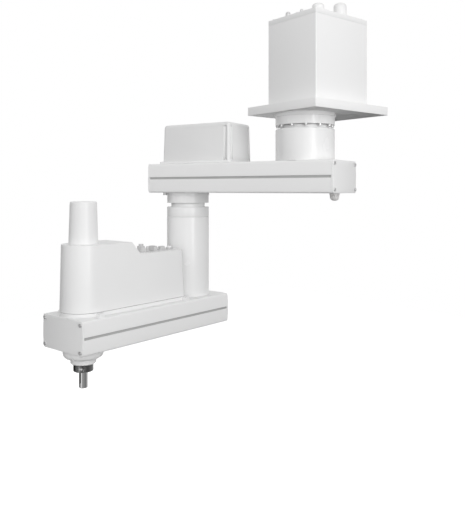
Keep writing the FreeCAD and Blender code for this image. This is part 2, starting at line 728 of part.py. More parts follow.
def motor_cover():
    """Rounded hood with a flute for each screw."""
    low = UPPER_HIGH + COVER_FOOT_THICK
    high = low + MOTOR_COVER_TALL
    back = UPPER_LENGTH - MOTOR_COVER_BACK
    front = UPPER_LENGTH + MOTOR_COVER_FRONT
    centre = (back + front) / 2
    size = front - back
    body = soft_block(size, 2 * MOTOR_COVER_HALF, low, high, MOTOR_COVER_CORNER, centre)
    body = body.makeFillet(MOTOR_COVER_CORNER - 1.0, edges_at(body, high))
    wall = MOTOR_COVER_WALL
    inner = centred(size - 2 * wall, 2 * (MOTOR_COVER_HALF - wall), low, high - wall, centre)
    inner_edges = upright_edges(inner)
    body = body.cut(inner.makeFillet(MOTOR_COVER_CORNER - wall, inner_edges))
    flute_high = high - MOTOR_COVER_CORNER - 2.0
    for x, y in cover_screw_places():
        body = body.fuse(cylinder(FLUTE_RADIUS + 2.0, low, flute_high + 2.0, x, y))
    body = body.common(outline_guard(size, centre, low, high))
    for x, y in cover_screw_places():
        body = body.cut(cylinder(FLUTE_RADIUS, low, flute_high, x, y))
    return body.removeSplitter()


def outline_guard(size, centre, low, high):
    """Outer block that keeps the flute walls inside the hood."""
    return soft_block(size, 2 * MOTOR_COVER_HALF, low, high, MOTOR_COVER_CORNER, centre)


def cover_screws():
    return screws_at(SCREW_M3, cover_screw_places(), UPPER_HIGH + COVER_FOOT_THICK)


def status_lamp():
    """Lamp under the back of the upper beam: base ring and ribbed dome."""
    x = -LAMP_BEYOND
    base_low = UPPER_LOW - LAMP_BASE_TALL
    base = tube(SCREW_M3[2] + FIT_GAP, LAMP_RADIUS, base_low, UPPER_LOW, x)
    base = base.makeChamfer(0.8, edges_at(base, base_low)[:1])
    low = UPPER_LOW - LAMP_TALL
    lens = cylinder(LAMP_RADIUS - 1.0, low, base_low, x)
    lens = lens.makeFillet(4.0, edges_at(lens, low))
    for px, py in around(12, LAMP_RADIUS - 1.0):
        lens = lens.cut(cylinder(0.7, low, base_low, x + px, py))
    return base, lens


def stop_block():
    reach = SECOND_RING_RADIUS + RUN_GAP + STOP_BLOCK_SIZE / 2
    body = centred(STOP_BLOCK_SIZE, STOP_BLOCK_SIZE, UPPER_LOW - STOP_BLOCK_TALL, UPPER_LOW, reach)
    body = body.makeChamfer(1.0, upright_edges(body))
    body.rotate(Vector(0, 0, 0), ABOVE, STOP_BLOCK_TURN)
    body.translate(Vector(UPPER_LENGTH, 0, 0))
    return body


def second_cap_ring():
    """Cap ring with the neck that meets the bearing above."""
    body = cylinder(CAP_RADIUS, CAP_LOW, CAP_HIGH)
    body = body.makeChamfer(1.0, edges_at(body, CAP_HIGH))
    body = body.fuse(cylinder(SECOND_NECK_RADIUS, CAP_HIGH, SECOND_NECK_TOP))
    return body.cut(cylinder(SECOND_CABLE_BORE, CAP_LOW, SECOND_NECK_TOP)).removeSplitter()


def second_column():
    body = tube(SECOND_COLUMN_RADIUS - SECOND_COLUMN_WALL, SECOND_COLUMN_RADIUS, FORE_HIGH, CAP_LOW)
    high = FORE_HIGH + SCREW_M5[3]
    return drill(body, SCREW_M5, second_column_places(), FORE_HIGH, high)


def second_column_places():
    return around(4, SECOND_COLUMN_RADIUS - SECOND_COLUMN_WALL / 2, 45.0)


def second_column_screws():
    return screws_at(SCREW_M5, second_column_places(), FORE_HIGH - BEAM_WALL, down=True)


def fore_beam():
    body = beam(END_THICK - FORE_BACK, FORE_LENGTH + FORE_FRONT - END_THICK, FORE_LOW)
    inside_high = FORE_HIGH - BEAM_WALL
    body = body.cut(cylinder(SECOND_CABLE_BORE, inside_high, FORE_HIGH))
    body = drill(body, SCREW_M5, second_column_places(), inside_high, FORE_HIGH)
    body = body.cut(cylinder(PULLEY_FLANGE + 1.0, inside_high, FORE_HIGH, FORE_LENGTH))
    for back in (THIRD_MOTOR_BACK, FOURTH_MOTOR_BACK):
        body = body.cut(cylinder(SMALL_SHAFT + 3.0, inside_high, FORE_HIGH, FORE_LENGTH - back))
    floor_high = FORE_LOW + BEAM_WALL
    body = body.cut(cylinder(DOME_SPIGOT + FIT_GAP, FORE_LOW, floor_high, FORE_LENGTH))
    body = drill(body, SCREW_M4, from_quill(dome_screw_places()), FORE_LOW, floor_high)
    body = drill(body, SCREW_M4, from_quill(nut_foot_places()), inside_high, FORE_HIGH)
    return drill(body, SCREW_M3, from_quill(rim_screw_places()), inside_high, FORE_HIGH)


def from_quill(places):
    """Places given about the quill axis, moved to the forearm's own origin."""
    return [(x + FORE_LENGTH, y) for x, y in places]


def nosed_wire(rear, half, corner, height):
    """Outline with a round nose about the quill axis and two rounded rear corners."""
    shift = corner * (1 - math.sqrt(0.5))
    points = {
        "rear_low": Vector(-rear, -half + corner, height),
        "rear_high": Vector(-rear, half - corner, height),
        "high_mid": Vector(-rear + shift, half - shift, height),
        "side_high": Vector(-rear + corner, half, height),
        "nose_high": Vector(0, half, height),
        "nose": Vector(half, 0, height),
        "nose_low": Vector(0, -half, height),
        "side_low": Vector(-rear + corner, -half, height),
        "low_mid": Vector(-rear + shift, -half + shift, height),
    }
    edges = [
        Part.makeLine(points["rear_low"], points["rear_high"]),
        Part.Arc(points["rear_high"], points["high_mid"], points["side_high"]).toShape(),
        Part.makeLine(points["side_high"], points["nose_high"]),
        Part.Arc(points["nose_high"], points["nose"], points["nose_low"]).toShape(),
        Part.makeLine(points["nose_low"], points["side_low"]),
        Part.Arc(points["side_low"], points["low_mid"], points["rear_low"]).toShape(),
    ]
    return Part.Wire(edges)


def cover_form(inset):
    """Drafted form of the forearm cover about the quill axis, shrunk by an inset."""
    corner = FORE_COVER_REAR_CORNER - inset
    top = COVER_TOP - inset
    low = nosed_wire(FORE_COVER_REAR_LOW - inset, FORE_COVER_HALF_LOW - inset, corner, RIM_HIGH)
    high = nosed_wire(FORE_COVER_REAR_HIGH - inset, FORE_COVER_HALF_HIGH - inset, corner, top)
    body = Part.makeLoft([low, high], True, True)
    reach = FORE_COVER_REAR_LOW + 10.0
    side = FORE_COVER_HALF_LOW + 10.0
    floor = STEP_TOP - inset
    slope = inset * 0.4
    profile = [
        Vector(-reach, -side, floor),
        Vector(-STEP_LOW_BACK + slope, -side, floor),
        Vector(-STEP_HIGH_BACK + slope, -side, top),
        Vector(-STEP_HIGH_BACK + slope, -side, top + 10.0),
        Vector(-reach, -side, top + 10.0),
    ]
    step = Part.Face(Part.makePolygon(profile + profile[:1])).extrude(Vector(0, 2 * side, 0))
    return body.cut(step)


def forearm_cover():
    outer = cover_form(0.0)
    body = outer.cut(cover_form(FORE_COVER_WALL))
    body = body.cut(cylinder(TOP_COLLAR_RADIUS + 5.0, STEP_TOP, COVER_TOP + 1.0))
    for back, side, radius in fitting_holes():
        body = body.cut(cylinder(radius, STEP_TOP - FORE_COVER_WALL, STEP_TOP, -back, side))
    return body


def fitting_holes():
    """Small holes under the fittings: distance back, side place, radius."""
    return (
        (ELBOW_BACK, FITTING_SIDE, 2.0),
        (DSUB_BACK, FITTING_SIDE, 4.0),
        (BUTTON_BACK, FITTING_SIDE, BUTTON_RADIUS / 2),
    )


def cover_rim():
    """Flange frame between the forearm cover and the beam, with screw tabs."""
    outer_wire = nosed_wire(
        FORE_COVER_REAR_LOW + RIM_PROUD, FORE_COVER_HALF_LOW + RIM_PROUD, FORE_COVER_REAR_CORNER, FORE_HIGH)
    inner_wire = nosed_wire(
        FORE_COVER_REAR_LOW + RIM_PROUD - RIM_WIDTH, FORE_COVER_HALF_LOW + RIM_PROUD - RIM_WIDTH,
        FORE_COVER_REAR_CORNER / 2, FORE_HIGH)
    lift = Vector(0, 0, RIM_THICK)
    body = Part.Face(outer_wire).extrude(lift)
    for x, y in rim_screw_places():
        inward = math.copysign(TAB_SIZE / 2, y)
        y_pair = sorted((y + inward, y - 2 * inward))
        body = body.fuse(block(x - TAB_SIZE / 2, x + TAB_SIZE / 2, *y_pair, FORE_HIGH, RIM_HIGH))
    body = body.cut(Part.Face(inner_wire).extrude(lift))
    for x, y in rim_screw_places():
        pocket = cylinder(SCREW_M3[0] + 0.3, RIM_HIGH - SCREW_M3[1], RIM_HIGH, x, y)
        body = body.cut(pocket)
    return drill(body, SCREW_M3, rim_screw_places(), FORE_HIGH, RIM_HIGH).removeSplitter()


def rim_screw_places():
    side = FORE_COVER_HALF_LOW + TAB_PROUD
    rear = REAR_TAB_INSET - FORE_COVER_REAR_LOW
    return [(0.0, side), (0.0, -side), (rear, side), (rear, -side)]


def rim_screws():
    return screws_at(SCREW_M3, rim_screw_places(), RIM_HIGH - SCREW_M3[1])


def screw_sleeve():
    """Tapered sleeve with a closed, rounded top over the quill."""
    cone = Part.makeCone(SLEEVE_RADIUS_LOW, SLEEVE_RADIUS_HIGH, SLEEVE_TALL, Vector(0, 0, COVER_TOP))
    cone = cone.makeFillet(SLEEVE_ROUND, edges_at(cone, SLEEVE_TOP))
    inner = Part.makeCone(
        SLEEVE_RADIUS_LOW - SLEEVE_WALL, SLEEVE_RADIUS_HIGH - SLEEVE_WALL,
        SLEEVE_TALL - SLEEVE_WALL, Vector(0, 0, COVER_TOP))
    return cone.cut(inner)


def bench(size, back):
    """Block standing on the low step."""
    size_x, size_y, tall = size
    return centred(size_x, size_y, STEP_TOP, STEP_TOP + tall, -back, FITTING_SIDE)


def air_valve():
    body = bench(VALVE_SIZE, VALVE_BACK)
    body = body.makeChamfer(1.0, upright_edges(body))
    top = STEP_TOP + VALVE_SIZE[2]
    cap = cylinder(VALVE_SIZE[0] / 2 - 1.0, top - 5.0, top, -VALVE_BACK, FITTING_SIDE)
    body = body.cut(block(
        -VALVE_BACK - VALVE_SIZE[0], -VALVE_BACK + VALVE_SIZE[0],
        FITTING_SIDE - VALVE_SIZE[1], FITTING_SIDE + VALVE_SIZE[1], top - 5.0, top))
    return [body, cap]


def air_elbow():
    top = STEP_TOP + ELBOW_TALL
    x = -ELBOW_BACK
    body = hexagon(ELBOW_RADIUS, STEP_TOP, STEP_TOP + ELBOW_TALL / 2, x, FITTING_SIDE)
    body = body.fuse(cylinder(0.8 * ELBOW_RADIUS, STEP_TOP + ELBOW_TALL / 2, top, x, FITTING_SIDE))
    return body.cut(cylinder(1.6, STEP_TOP, top, x, FITTING_SIDE)).removeSplitter()


def signal_socket():
    body = bench(SOCKET_SIZE, SOCKET_BACK)
    body = body.makeChamfer(0.8, edges_at(body, STEP_TOP + SOCKET_SIZE[2]))
    top = STEP_TOP + SOCKET_SIZE[2]
    return body.cut(centred(7.0, 14.0, top - 6.0, top, -SOCKET_BACK, FITTING_SIDE))


def dsub_connector():
    """Flat connector: flange, D-shaped shell and two jack posts."""
    size_x, size_y, tall = DSUB_SIZE
    flange = soft_block(size_x, size_y, STEP_TOP, STEP_TOP + 2.5, 2.0, -DSUB_BACK, FITTING_SIDE)
    low = STEP_TOP + 2.5
    shell = soft_block(size_x - 10.0, size_y - 2.0, low, STEP_TOP + tall, 2.0, -DSUB_BACK, FITTING_SIDE)
    hollow = centred(size_x - 13.0, size_y - 5.0, low + 2.0, STEP_TOP + tall, -DSUB_BACK, FITTING_SIDE)
    body = flange.fuse(shell.cut(hollow))
    for side in (-1, 1):
        post_x = -DSUB_BACK + side * (size_x / 2 - 2.6)
        body = body.fuse(hexagon(2.0, low, low + 4.0, post_x, FITTING_SIDE))
    return body.removeSplitter()


def button_collar():
    high = STEP_TOP + BUTTON_COLLAR_TALL
    return tube(BUTTON_RADIUS + RUN_GAP, BUTTON_COLLAR_RADIUS, STEP_TOP, high, -BUTTON_BACK, FITTING_SIDE)


def brake_button():
    low = STEP_TOP + BUTTON_TRAVEL + 0.5
    high = STEP_TOP + BUTTON_TALL
    body = cylinder(BUTTON_RADIUS, low, high, -BUTTON_BACK, FITTING_SIDE)
    body = body.makeFillet(1.5, edges_at(body, high))
    stem_low = STEP_TOP - FORE_COVER_WALL - 6.0
    stem = cylinder(BUTTON_RADIUS / 2 - RUN_GAP, stem_low, low, -BUTTON_BACK, FITTING_SIDE)
    return body.fuse(stem).removeSplitter()


def small_motor():
    return motor(MOTOR_SIDE_SMALL, MOTOR_TALL_SMALL, MOTOR_SIDE_SMALL + 2.0, FORE_HIGH, SMALL_SHAFT + RUN_GAP)


def lipped_pulley(radius, lip_radius, high, bore):
    """Pulley with a lip above and below its belt."""
    low = high - PULLEY_WIDE
    body = cylinder(radius, low, high)
    body = body.fuse(cylinder(lip_radius, high - PULLEY_LIP, high))
    body = body.fuse(cylinder(lip_radius, low, low + PULLEY_LIP))
    if bore:
        body = body.cut(cylinder(bore, low, high))
    return body.removeSplitter()


def motor_pulley(belt_high):
    """Small pulley with its shaft, which reaches up into the motor."""
    body = lipped_pulley(MOTOR_PULLEY_RADIUS, MOTOR_PULLEY_FLANGE, belt_high, 0.0)
    return body.fuse(cylinder(SMALL_SHAFT, belt_high, FORE_HIGH + PULLEY_SHAFT_UP)).removeSplitter()


def racetrack(distance, radius_near, radius_far, low, high):
    """Solid around two circles, one at the origin and one back along X."""
    turn = math.asin((radius_near - radius_far) / distance)
    sine = math.sin(turn)
    cosine = math.cos(turn)
    near = [(-radius_near * sine, radius_near * cosine), (-radius_near * sine, -radius_near * cosine)]
    far = [(-distance - radius_far * sine, radius_far * cosine),
           (-distance - radius_far * sine, -radius_far * cosine)]
    edges = [
        Part.makeLine(Vector(*near[0], low), Vector(*far[0], low)),
        Part.Arc(Vector(*far[0], low), Vector(-distance - radius_far, 0, low),
                 Vector(*far[1], low)).toShape(),
        Part.makeLine(Vector(*far[1], low), Vector(*near[1], low)),
        Part.Arc(Vector(*near[1], low), Vector(radius_near, 0, low), Vector(*near[0], low)).toShape(),
    ]
    return Part.Face(Part.Wire(edges)).extrude(Vector(0, 0, high - low))


def belt(distance, belt_high):
    """Closed belt, clear of both pulleys by the running gap."""
    high = belt_high - (PULLEY_WIDE - BELT_WIDE) / 2
    low = high - BELT_WIDE
    near = PULLEY_RADIUS + RUN_GAP
    far = MOTOR_PULLEY_RADIUS + RUN_GAP
    outer = racetrack(distance, near + BELT_THICK, far + BELT_THICK, low, high)
    return outer.cut(racetrack(distance, near, far, low, high))


def quill_nut(low, high, belt_high):
    """Nut sleeve on the quill with its pulley."""
    body = cylinder(NUT_RADIUS, low, high)
    body = body.fuse(lipped_pulley(PULLEY_RADIUS, PULLEY_FLANGE, belt_high, 0.0))
    return body.cut(cylinder(SHAFT_RADIUS + FIT_GAP, low, high)).removeSplitter()


def screw_nut():
    return quill_nut(THIRD_BELT_HIGH - PULLEY_WIDE, NUT_HOUSING_HIGH - 1.0, THIRD_BELT_HIGH)


def spline_nut():
    return quill_nut(SEAL_LOW + 1.5, FOURTH_BELT_HIGH, FOURTH_BELT_HIGH)


def ball_bearing(low):
    return tube(NUT_RADIUS + FIT_GAP, HOUSING_BORE - FIT_GAP, low, low + BEARING_TALL)


def nut_bearings():
    return [ball_bearing(FORE_HIGH + 1.0), ball_bearing(NUT_HOUSING_HIGH - BEARING_TALL - 2.0)]


def spline_bearings():
    return [ball_bearing(DOME_LOW), ball_bearing(FORE_LOW + DOME_SPIGOT_TALL - BEARING_TALL)]


def nut_foot_places():
    return around(4, NUT_HOUSING_FOOT - 4.5, 45.0)


def nut_housing():
    """Bearing housing of the screw nut, standing on the beam."""
    body = cylinder(NUT_HOUSING_RADIUS, FORE_HIGH, NUT_HOUSING_HIGH)
    body = body.fuse(cylinder(NUT_HOUSING_FOOT, FORE_HIGH, FORE_HIGH + NUT_FOOT_THICK))
    for x, y in nut_foot_places():
        pocket = cylinder(SCREW_M4[0] + 0.3, FORE_HIGH + NUT_FOOT_THICK, NUT_HOUSING_HIGH, x, y)
        body = body.cut(pocket)
    body = body.cut(cylinder(HOUSING_BORE, FORE_HIGH, NUT_HOUSING_HIGH))
    return drill(body, SCREW_M4, nut_foot_places(), FORE_HIGH, FORE_HIGH + NUT_FOOT_THICK)


def nut_housing_screws():
    return screws_at(SCREW_M4, nut_foot_places(), FORE_HIGH + NUT_FOOT_THICK)


def dome_screw_places():
    return around(4, DOME_RADIUS - DOME_SCREW_INSET, 20.0)


def quill_housing():
    """Domed housing under the beam that carries the spline nut."""
    flange_low = FORE_LOW - DOME_FLANGE
    drop = DOME_TALL - DOME_FLANGE
    shoulder = Vector(DOME_RADIUS - 1.5, 0, flange_low)
    middle = Vector(DOME_LOW_RADIUS + 0.76 * (shoulder.x - DOME_LOW_RADIUS), 0, flange_low - 0.55 * drop)
    foot = Vector(DOME_LOW_RADIUS, 0, DOME_LOW)
    edges = [
        Part.makeLine(Vector(0, 0, FORE_LOW), Vector(DOME_RADIUS, 0, FORE_LOW)),
        Part.makeLine(Vector(DOME_RADIUS, 0, FORE_LOW), Vector(DOME_RADIUS, 0, flange_low)),
        Part.makeLine(Vector(DOME_RADIUS, 0, flange_low), shoulder),
        Part.Arc(shoulder, middle, foot).toShape(),
        Part.makeLine(foot, Vector(0, 0, DOME_LOW)),
        Part.makeLine(Vector(0, 0, DOME_LOW), Vector(0, 0, FORE_LOW)),
    ]
    body = Part.Face(Part.Wire(edges)).revolve(Vector(0, 0, 0), ABOVE, 360.0)
    body = body.fuse(cylinder(DOME_SPIGOT, FORE_LOW, FORE_LOW + DOME_SPIGOT_TALL))
    for x, y in dome_screw_places():
        body = body.cut(cylinder(SCREW_M4[0] + 0.5, DOME_LOW, flange_low, x, y))
    body = body.cut(cylinder(HOUSING_BORE, DOME_LOW, FORE_LOW + DOME_SPIGOT_TALL))
    return drill(body, SCREW_M4, dome_screw_places(), flange_low, FORE_LOW).removeSplitter()


def quill_housing_screws():
    size = (SCREW_M4[0], SCREW_M4[1], SCREW_M4[2], DOME_FLANGE + BEAM_WALL)
    return screws_at(size, dome_screw_places(), FORE_LOW - DOME_FLANGE, down=True)


def seal_ring():
    body = cylinder(SEAL_RADIUS, SEAL_LOW, DOME_LOW)
    body = body.makeChamfer(SEAL_BEVEL, edges_at(body, SEAL_LOW))
    return body.cut(cylinder(NUT_RADIUS + RUN_GAP, SEAL_LOW, DOME_LOW))


def quill_shaft():
    """Hollow shaft with running grooves, a relief above its tool end and a flat."""
    body = cylinder(SHAFT_RADIUS, SHAFT_LOW, SHAFT_HIGH)
    body = body.makeChamfer(SHAFT_CHAMFER, edges_at(body, SHAFT_LOW) + edges_at(body, SHAFT_HIGH))
    body = body.cut(cylinder(SHAFT_BORE, SHAFT_LOW, SHAFT_HIGH))
    relief_high = COLLAR_LOW + RELIEF_TALL
    body = body.cut(tube(SHAFT_RADIUS - RELIEF_DEPTH, SHAFT_RADIUS + 1.0, COLLAR_LOW, relief_high))
    groove = SHAFT_RADIUS + 0.4 * GROOVE_RADIUS
    for x, y in around(2, groove, GROOVE_TURN):
        body = body.cut(cylinder(GROOVE_RADIUS, COLLAR_LOW, SHAFT_HIGH, x, y))
    flat = SHAFT_RADIUS - FLAT_DEPTH
    cut = block(flat, SHAFT_RADIUS + 1.0, -SHAFT_RADIUS, SHAFT_RADIUS, SHAFT_LOW + FLAT_LOW, SHAFT_LOW + FLAT_HIGH)
    cut.rotate(Vector(0, 0, 0), ABOVE, -30.0)
    return body.cut(cut)


def split_collar(radius, low, high, slit_turn):
    """Clamp collar with a slit across the screw."""
    body = cylinder(radius, low, high)
    body = body.makeChamfer(0.8, edges_at(body, low) + edges_at(body, high))
    body = body.cut(cylinder(SHAFT_RADIUS, low, high))
    slit = block(0.0, radius + 1.0, -COLLAR_SLIT / 2, COLLAR_SLIT / 2, low, high)
    slit.rotate(Vector(0, 0, 0), ABOVE, slit_turn)
    return body.cut(slit)


def along_y(radius, length, start):
    middle = (COLLAR_LOW + COLLAR_HIGH) / 2
    return Part.makeCylinder(radius, length, Vector(COLLAR_SCREW_OUT, start, middle), Vector(0, 1, 0))


def lower_collar():
    body = split_collar(COLLAR_RADIUS, COLLAR_LOW, COLLAR_HIGH, 0.0)
    head, _, shank, _ = COLLAR_SCREW
    body = body.cut(along_y(shank + FIT_GAP, 2 * COLLAR_RADIUS, -COLLAR_RADIUS))
    return body.cut(along_y(head + 0.2, COLLAR_RADIUS, COLLAR_SCREW_SIDE))


def collar_screw():
    middle = (COLLAR_LOW + COLLAR_HIGH) / 2
    screw = socket_screw(COLLAR_SCREW)
    screw.rotate(Vector(0, 0, 0), Vector(1, 0, 0), -90.0)
    screw.translate(Vector(COLLAR_SCREW_OUT, COLLAR_SCREW_SIDE, middle))
    return screw


def upper_collar():
    high = SHAFT_HIGH - TOP_COLLAR_DOWN
    return split_collar(TOP_COLLAR_RADIUS, high - TOP_COLLAR_TALL, high, 180.0)


FORE_X = FIRST_AXIS_X + UPPER_LENGTH * math.cos(math.radians(UPPER_TURN))
FORE_Y = UPPER_LENGTH * math.sin(math.radians(UPPER_TURN))
FORE_ANGLE = UPPER_TURN + FORE_TURN
QUILL_X = FORE_X + FORE_LENGTH * math.cos(math.radians(FORE_ANGLE))
QUILL_Y = FORE_Y + FORE_LENGTH * math.sin(math.radians(FORE_ANGLE))

FRAMES = {
    "base": (0.0, 0.0, 0.0),
    "first": (FIRST_AXIS_X, 0.0, 0.0),
    "upper": (FIRST_AXIS_X, 0.0, UPPER_TURN),
    "elbow": (FORE_X, FORE_Y, UPPER_TURN),
    "fore": (FORE_X, FORE_Y, FORE_ANGLE),
    "quill": (QUILL_X, QUILL_Y, FORE_ANGLE),
}


def save(name, pieces, frame, back=0.0):
    """Move pieces from their own frame to the part's frame and write them."""
    solids = pieces if isinstance(pieces, (list, tuple)) else [pieces]
    x, y, turn = FRAMES[frame]
    moved = []
    for solid in solids:
        copy = solid.copy()
        copy.translate(Vector(-back, 0, 0))
        copy.rotate(Vector(0, 0, 0), ABOVE, turn)
        copy.translate(Vector(x, y, 0))
        moved.append(copy)
    shape = Part.makeCompound(moved) if len(moved) > 1 else moved[0]
    shape.exportStep("parts/%s.step" % name)
    print(name, len(shape.Solids), round(shape.Volume), shape.isValid())


def save_base():
    save("base_plate", base_plate(), "base")
    save("base_housing", base_housing(), "base")
    save("base_lid", base_lid(), "base")
    save("base_screws", (
        screws_at(SCREW_M5, housing_foot_places(), FOOT_TALL)
        + screws_at(SCREW_M5, motor_flange_places(), MOTOR_FLANGE_THICK)
        + screws_at(SCREW_M4, housing_foot_places(), HOUSING_TALL + LID_THICK)), "base")
    save("cable_gland", cable_gland(GLAND_RADIUS, GLAND_TALL, GLAND_HEX_TALL, GLAND_BORE, GLAND_PLACE), "base")
    signal_gland = cable_gland(
        SMALL_GLAND_RADIUS, SMALL_GLAND_TALL, SMALL_GLAND_TALL / 2, SMALL_GLAND_RADIUS / 2,
        SMALL_GLAND_PLACE)
    save("lid_fittings", [signal_gland] + air_fittings(), "base")
    save("power_connector", power_plug(), "base")
    save("first_motor", first_motor(), "first")
    save("first_gear_unit", [
        circular_spline(SPLINE_RADIUS, PLATE_BORE, PLATE_LOW, -2.0),
        wave_plug(SPLINE_RADIUS, PLATE_LOW + 4.0, -4.0)], "first")
    save("first_mount_ring", first_mount_ring(), "first")
    save("first_bearing_case", first_bearing_case(), "first")
    outer = FIRST_CASE_BORE - FIT_GAP
    save("first_bearing_outer", tube(
        FIRST_BEARING_SPLIT + FIT_GAP, outer, FIRST_CASE_LOW + 2.0, FIRST_RING_LOW - 2.0), "first")
    save("first_case_screws", screws_at(SCREW_M5_LONG, first_ring_places(), FIRST_CASE_LOW, True), "first")


def save_upper_arm():
    back_face = -UPPER_BACK
    front_face = UPPER_LENGTH + UPPER_FRONT
    save("first_bearing_inner", tube(
        SPLINE_RADIUS - 4.0, FIRST_BEARING_SPLIT, FIRST_NECK_TOP, FIRST_RING_LOW - 2.0), "first")
    save("first_flex_cup", flex_cup(SPLINE_RADIUS, FIRST_RING_LOW - 2.0, -5.0), "first")
    save("first_column", first_column(), "upper")
    save("upper_beam", upper_beam(), "upper")
    save("upper_end_plates", [
        end_plate(back_face, back_face + END_THICK, UPPER_LOW),
        end_plate(front_face - END_THICK, front_face, UPPER_LOW)], "upper")
    save("upper_beam_screws", (
        end_screws(back_face, UPPER_LOW, -1) + end_screws(front_face, UPPER_LOW, 1)
        + first_column_screws()), "upper")
    save("upper_slot_strips", slot_strips(
        back_face + END_THICK, front_face - END_THICK, UPPER_LOW), "upper")
    save("second_motor", second_motor(), "elbow")
    gear_low = SECOND_RING_LOW + 1.0
    save("second_gear_unit", [
        second_gear_case(),
        circular_spline(SPLINE_RADIUS, SECOND_CASE_BORE, gear_low, UPPER_LOW + BEAM_WALL - RUN_GAP),
        wave_plug(SPLINE_RADIUS, SECOND_RING_LOW + 3.0, UPPER_LOW + 4.0)], "elbow")
    save("motor_cover", motor_cover(), "upper")
    save("motor_cover_foot", cover_foot(), "upper")
    save("motor_cover_screws", cover_screws(), "upper")
    save("second_mount_ring", second_mount_ring(), "elbow")
    save("second_bearing_case", second_bearing_case(), "elbow")
    save("second_bearing_outer", tube(
        SECOND_BEARING_SPLIT + FIT_GAP, SECOND_CASE_BORE - FIT_GAP,
        SECOND_CASE_LOW + 2.0, SECOND_RING_LOW - 2.0), "elbow")
    save("second_case_screws", second_ring_screws(), "elbow")
    save("status_lamp", status_lamp(), "upper")
    save("stop_block", stop_block(), "upper")


def save_forearm():
    back_face = -FORE_BACK
    front_face = FORE_LENGTH + FORE_FRONT
    save("second_bearing_inner", tube(
        SECOND_CABLE_BORE + 2.0, SECOND_BEARING_SPLIT, SECOND_NECK_TOP, SECOND_RING_LOW - 2.0), "fore")
    save("second_flex_cup", flex_cup(SPLINE_RADIUS, SECOND_RING_LOW - 2.0, UPPER_LOW + 3.0), "fore")
    save("second_cap_ring", second_cap_ring(), "fore")
    save("second_column", second_column(), "fore")
    save("forearm_beam", fore_beam(), "fore")
    save("forearm_end_plates", [
        end_plate(back_face, back_face + END_THICK, FORE_LOW),
        end_plate(front_face - END_THICK, front_face, FORE_LOW)], "fore")
    save("forearm_beam_screws", (
        end_screws(back_face, FORE_LOW, -1) + end_screws(front_face, FORE_LOW, 1)
        + second_column_screws()), "fore")
    save("forearm_slot_strips", slot_strips(
        back_face + END_THICK, front_face - END_THICK, FORE_LOW), "fore")
    save("forearm_cover", forearm_cover(), "quill")
    save("cover_rim", cover_rim(), "quill")
    save("cover_rim_screws", rim_screws(), "quill")
    save("screw_sleeve", screw_sleeve(), "quill")
    fittings = air_valve() + [air_elbow(), signal_socket(), dsub_connector(), button_collar()]
    save("cover_fittings", fittings, "quill")
    save("brake_button", brake_button(), "quill")
    save("quill_motors", [
        small_motor().translated(Vector(-THIRD_MOTOR_BACK, 0, 0)),
        small_motor().translated(Vector(-FOURTH_MOTOR_BACK, 0, 0))], "quill")


def save_quill():
    save("third_motor_pulley", motor_pulley(THIRD_BELT_HIGH), "quill", THIRD_MOTOR_BACK)
    save("fourth_motor_pulley", motor_pulley(FOURTH_BELT_HIGH), "quill", FOURTH_MOTOR_BACK)
    save("drive_belts", [
        belt(THIRD_MOTOR_BACK, THIRD_BELT_HIGH), belt(FOURTH_MOTOR_BACK, FOURTH_BELT_HIGH)], "quill")
    save("nut_housing", nut_housing(), "quill")
    save("quill_bearings", nut_bearings() + spline_bearings(), "quill")
    save("quill_housing", quill_housing(), "quill")
    save("nut_housing_screws", nut_housing_screws() + quill_housing_screws(), "quill")
    save("quill_seal_ring", seal_ring(), "quill")
    save("screw_nut", screw_nut(), "quill")
    save("spline_nut", spline_nut(), "quill")
    save("quill_shaft", quill_shaft(), "quill")
    save("lower_collar", lower_collar(), "quill")
    save("collar_screw", collar_screw(), "quill")
    save("upper_collar", upper_collar(), "quill")


os.makedirs("parts", exist_ok=True)
save_base()
save_upper_arm()
save_forearm()
save_quill()
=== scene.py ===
import json
import math
import bmesh
import bpy
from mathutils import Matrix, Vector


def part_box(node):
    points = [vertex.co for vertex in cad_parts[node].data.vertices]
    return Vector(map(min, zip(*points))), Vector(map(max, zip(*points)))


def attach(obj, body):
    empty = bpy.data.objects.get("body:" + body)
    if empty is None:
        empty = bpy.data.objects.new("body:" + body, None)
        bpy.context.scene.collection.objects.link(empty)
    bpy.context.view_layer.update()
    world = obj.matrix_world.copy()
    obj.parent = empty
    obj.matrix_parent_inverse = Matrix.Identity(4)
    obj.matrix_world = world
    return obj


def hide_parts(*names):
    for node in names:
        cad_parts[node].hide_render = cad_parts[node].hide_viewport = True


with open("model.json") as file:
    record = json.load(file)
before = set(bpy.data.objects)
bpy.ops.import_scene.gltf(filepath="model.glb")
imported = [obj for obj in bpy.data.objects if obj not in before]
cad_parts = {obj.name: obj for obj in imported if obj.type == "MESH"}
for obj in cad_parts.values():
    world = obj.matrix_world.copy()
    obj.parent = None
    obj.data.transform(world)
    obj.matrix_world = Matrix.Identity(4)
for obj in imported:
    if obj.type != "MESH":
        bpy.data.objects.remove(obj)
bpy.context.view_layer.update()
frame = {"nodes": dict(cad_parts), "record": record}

MM = 0.001

# Sizes in millimetres
BEAM_TALL = 77.5
BEAM_HALF = 76.0
END_THICK = 4.0
LINK_LENGTH = 350.0
PLATE_HALF_X = 132.5
PLATE_HALF_Y = 113.5
PLATE_LOW = -20.0
FIRST_RING_LOW = -29.0
FIRST_CASE_LOW = -49.0
BOLT_X = 120.0
BOLT_Y = 100.0
BOLT_BORE = 5.5
FIRST_AXIS = 46.0
STEP_DROP = 30.0

# How far a cutter reaches past the piece it cuts, in millimetres
PAST = 5.0

# Height of the studio floor in metres
FLOOR_HEIGHT = -2.0

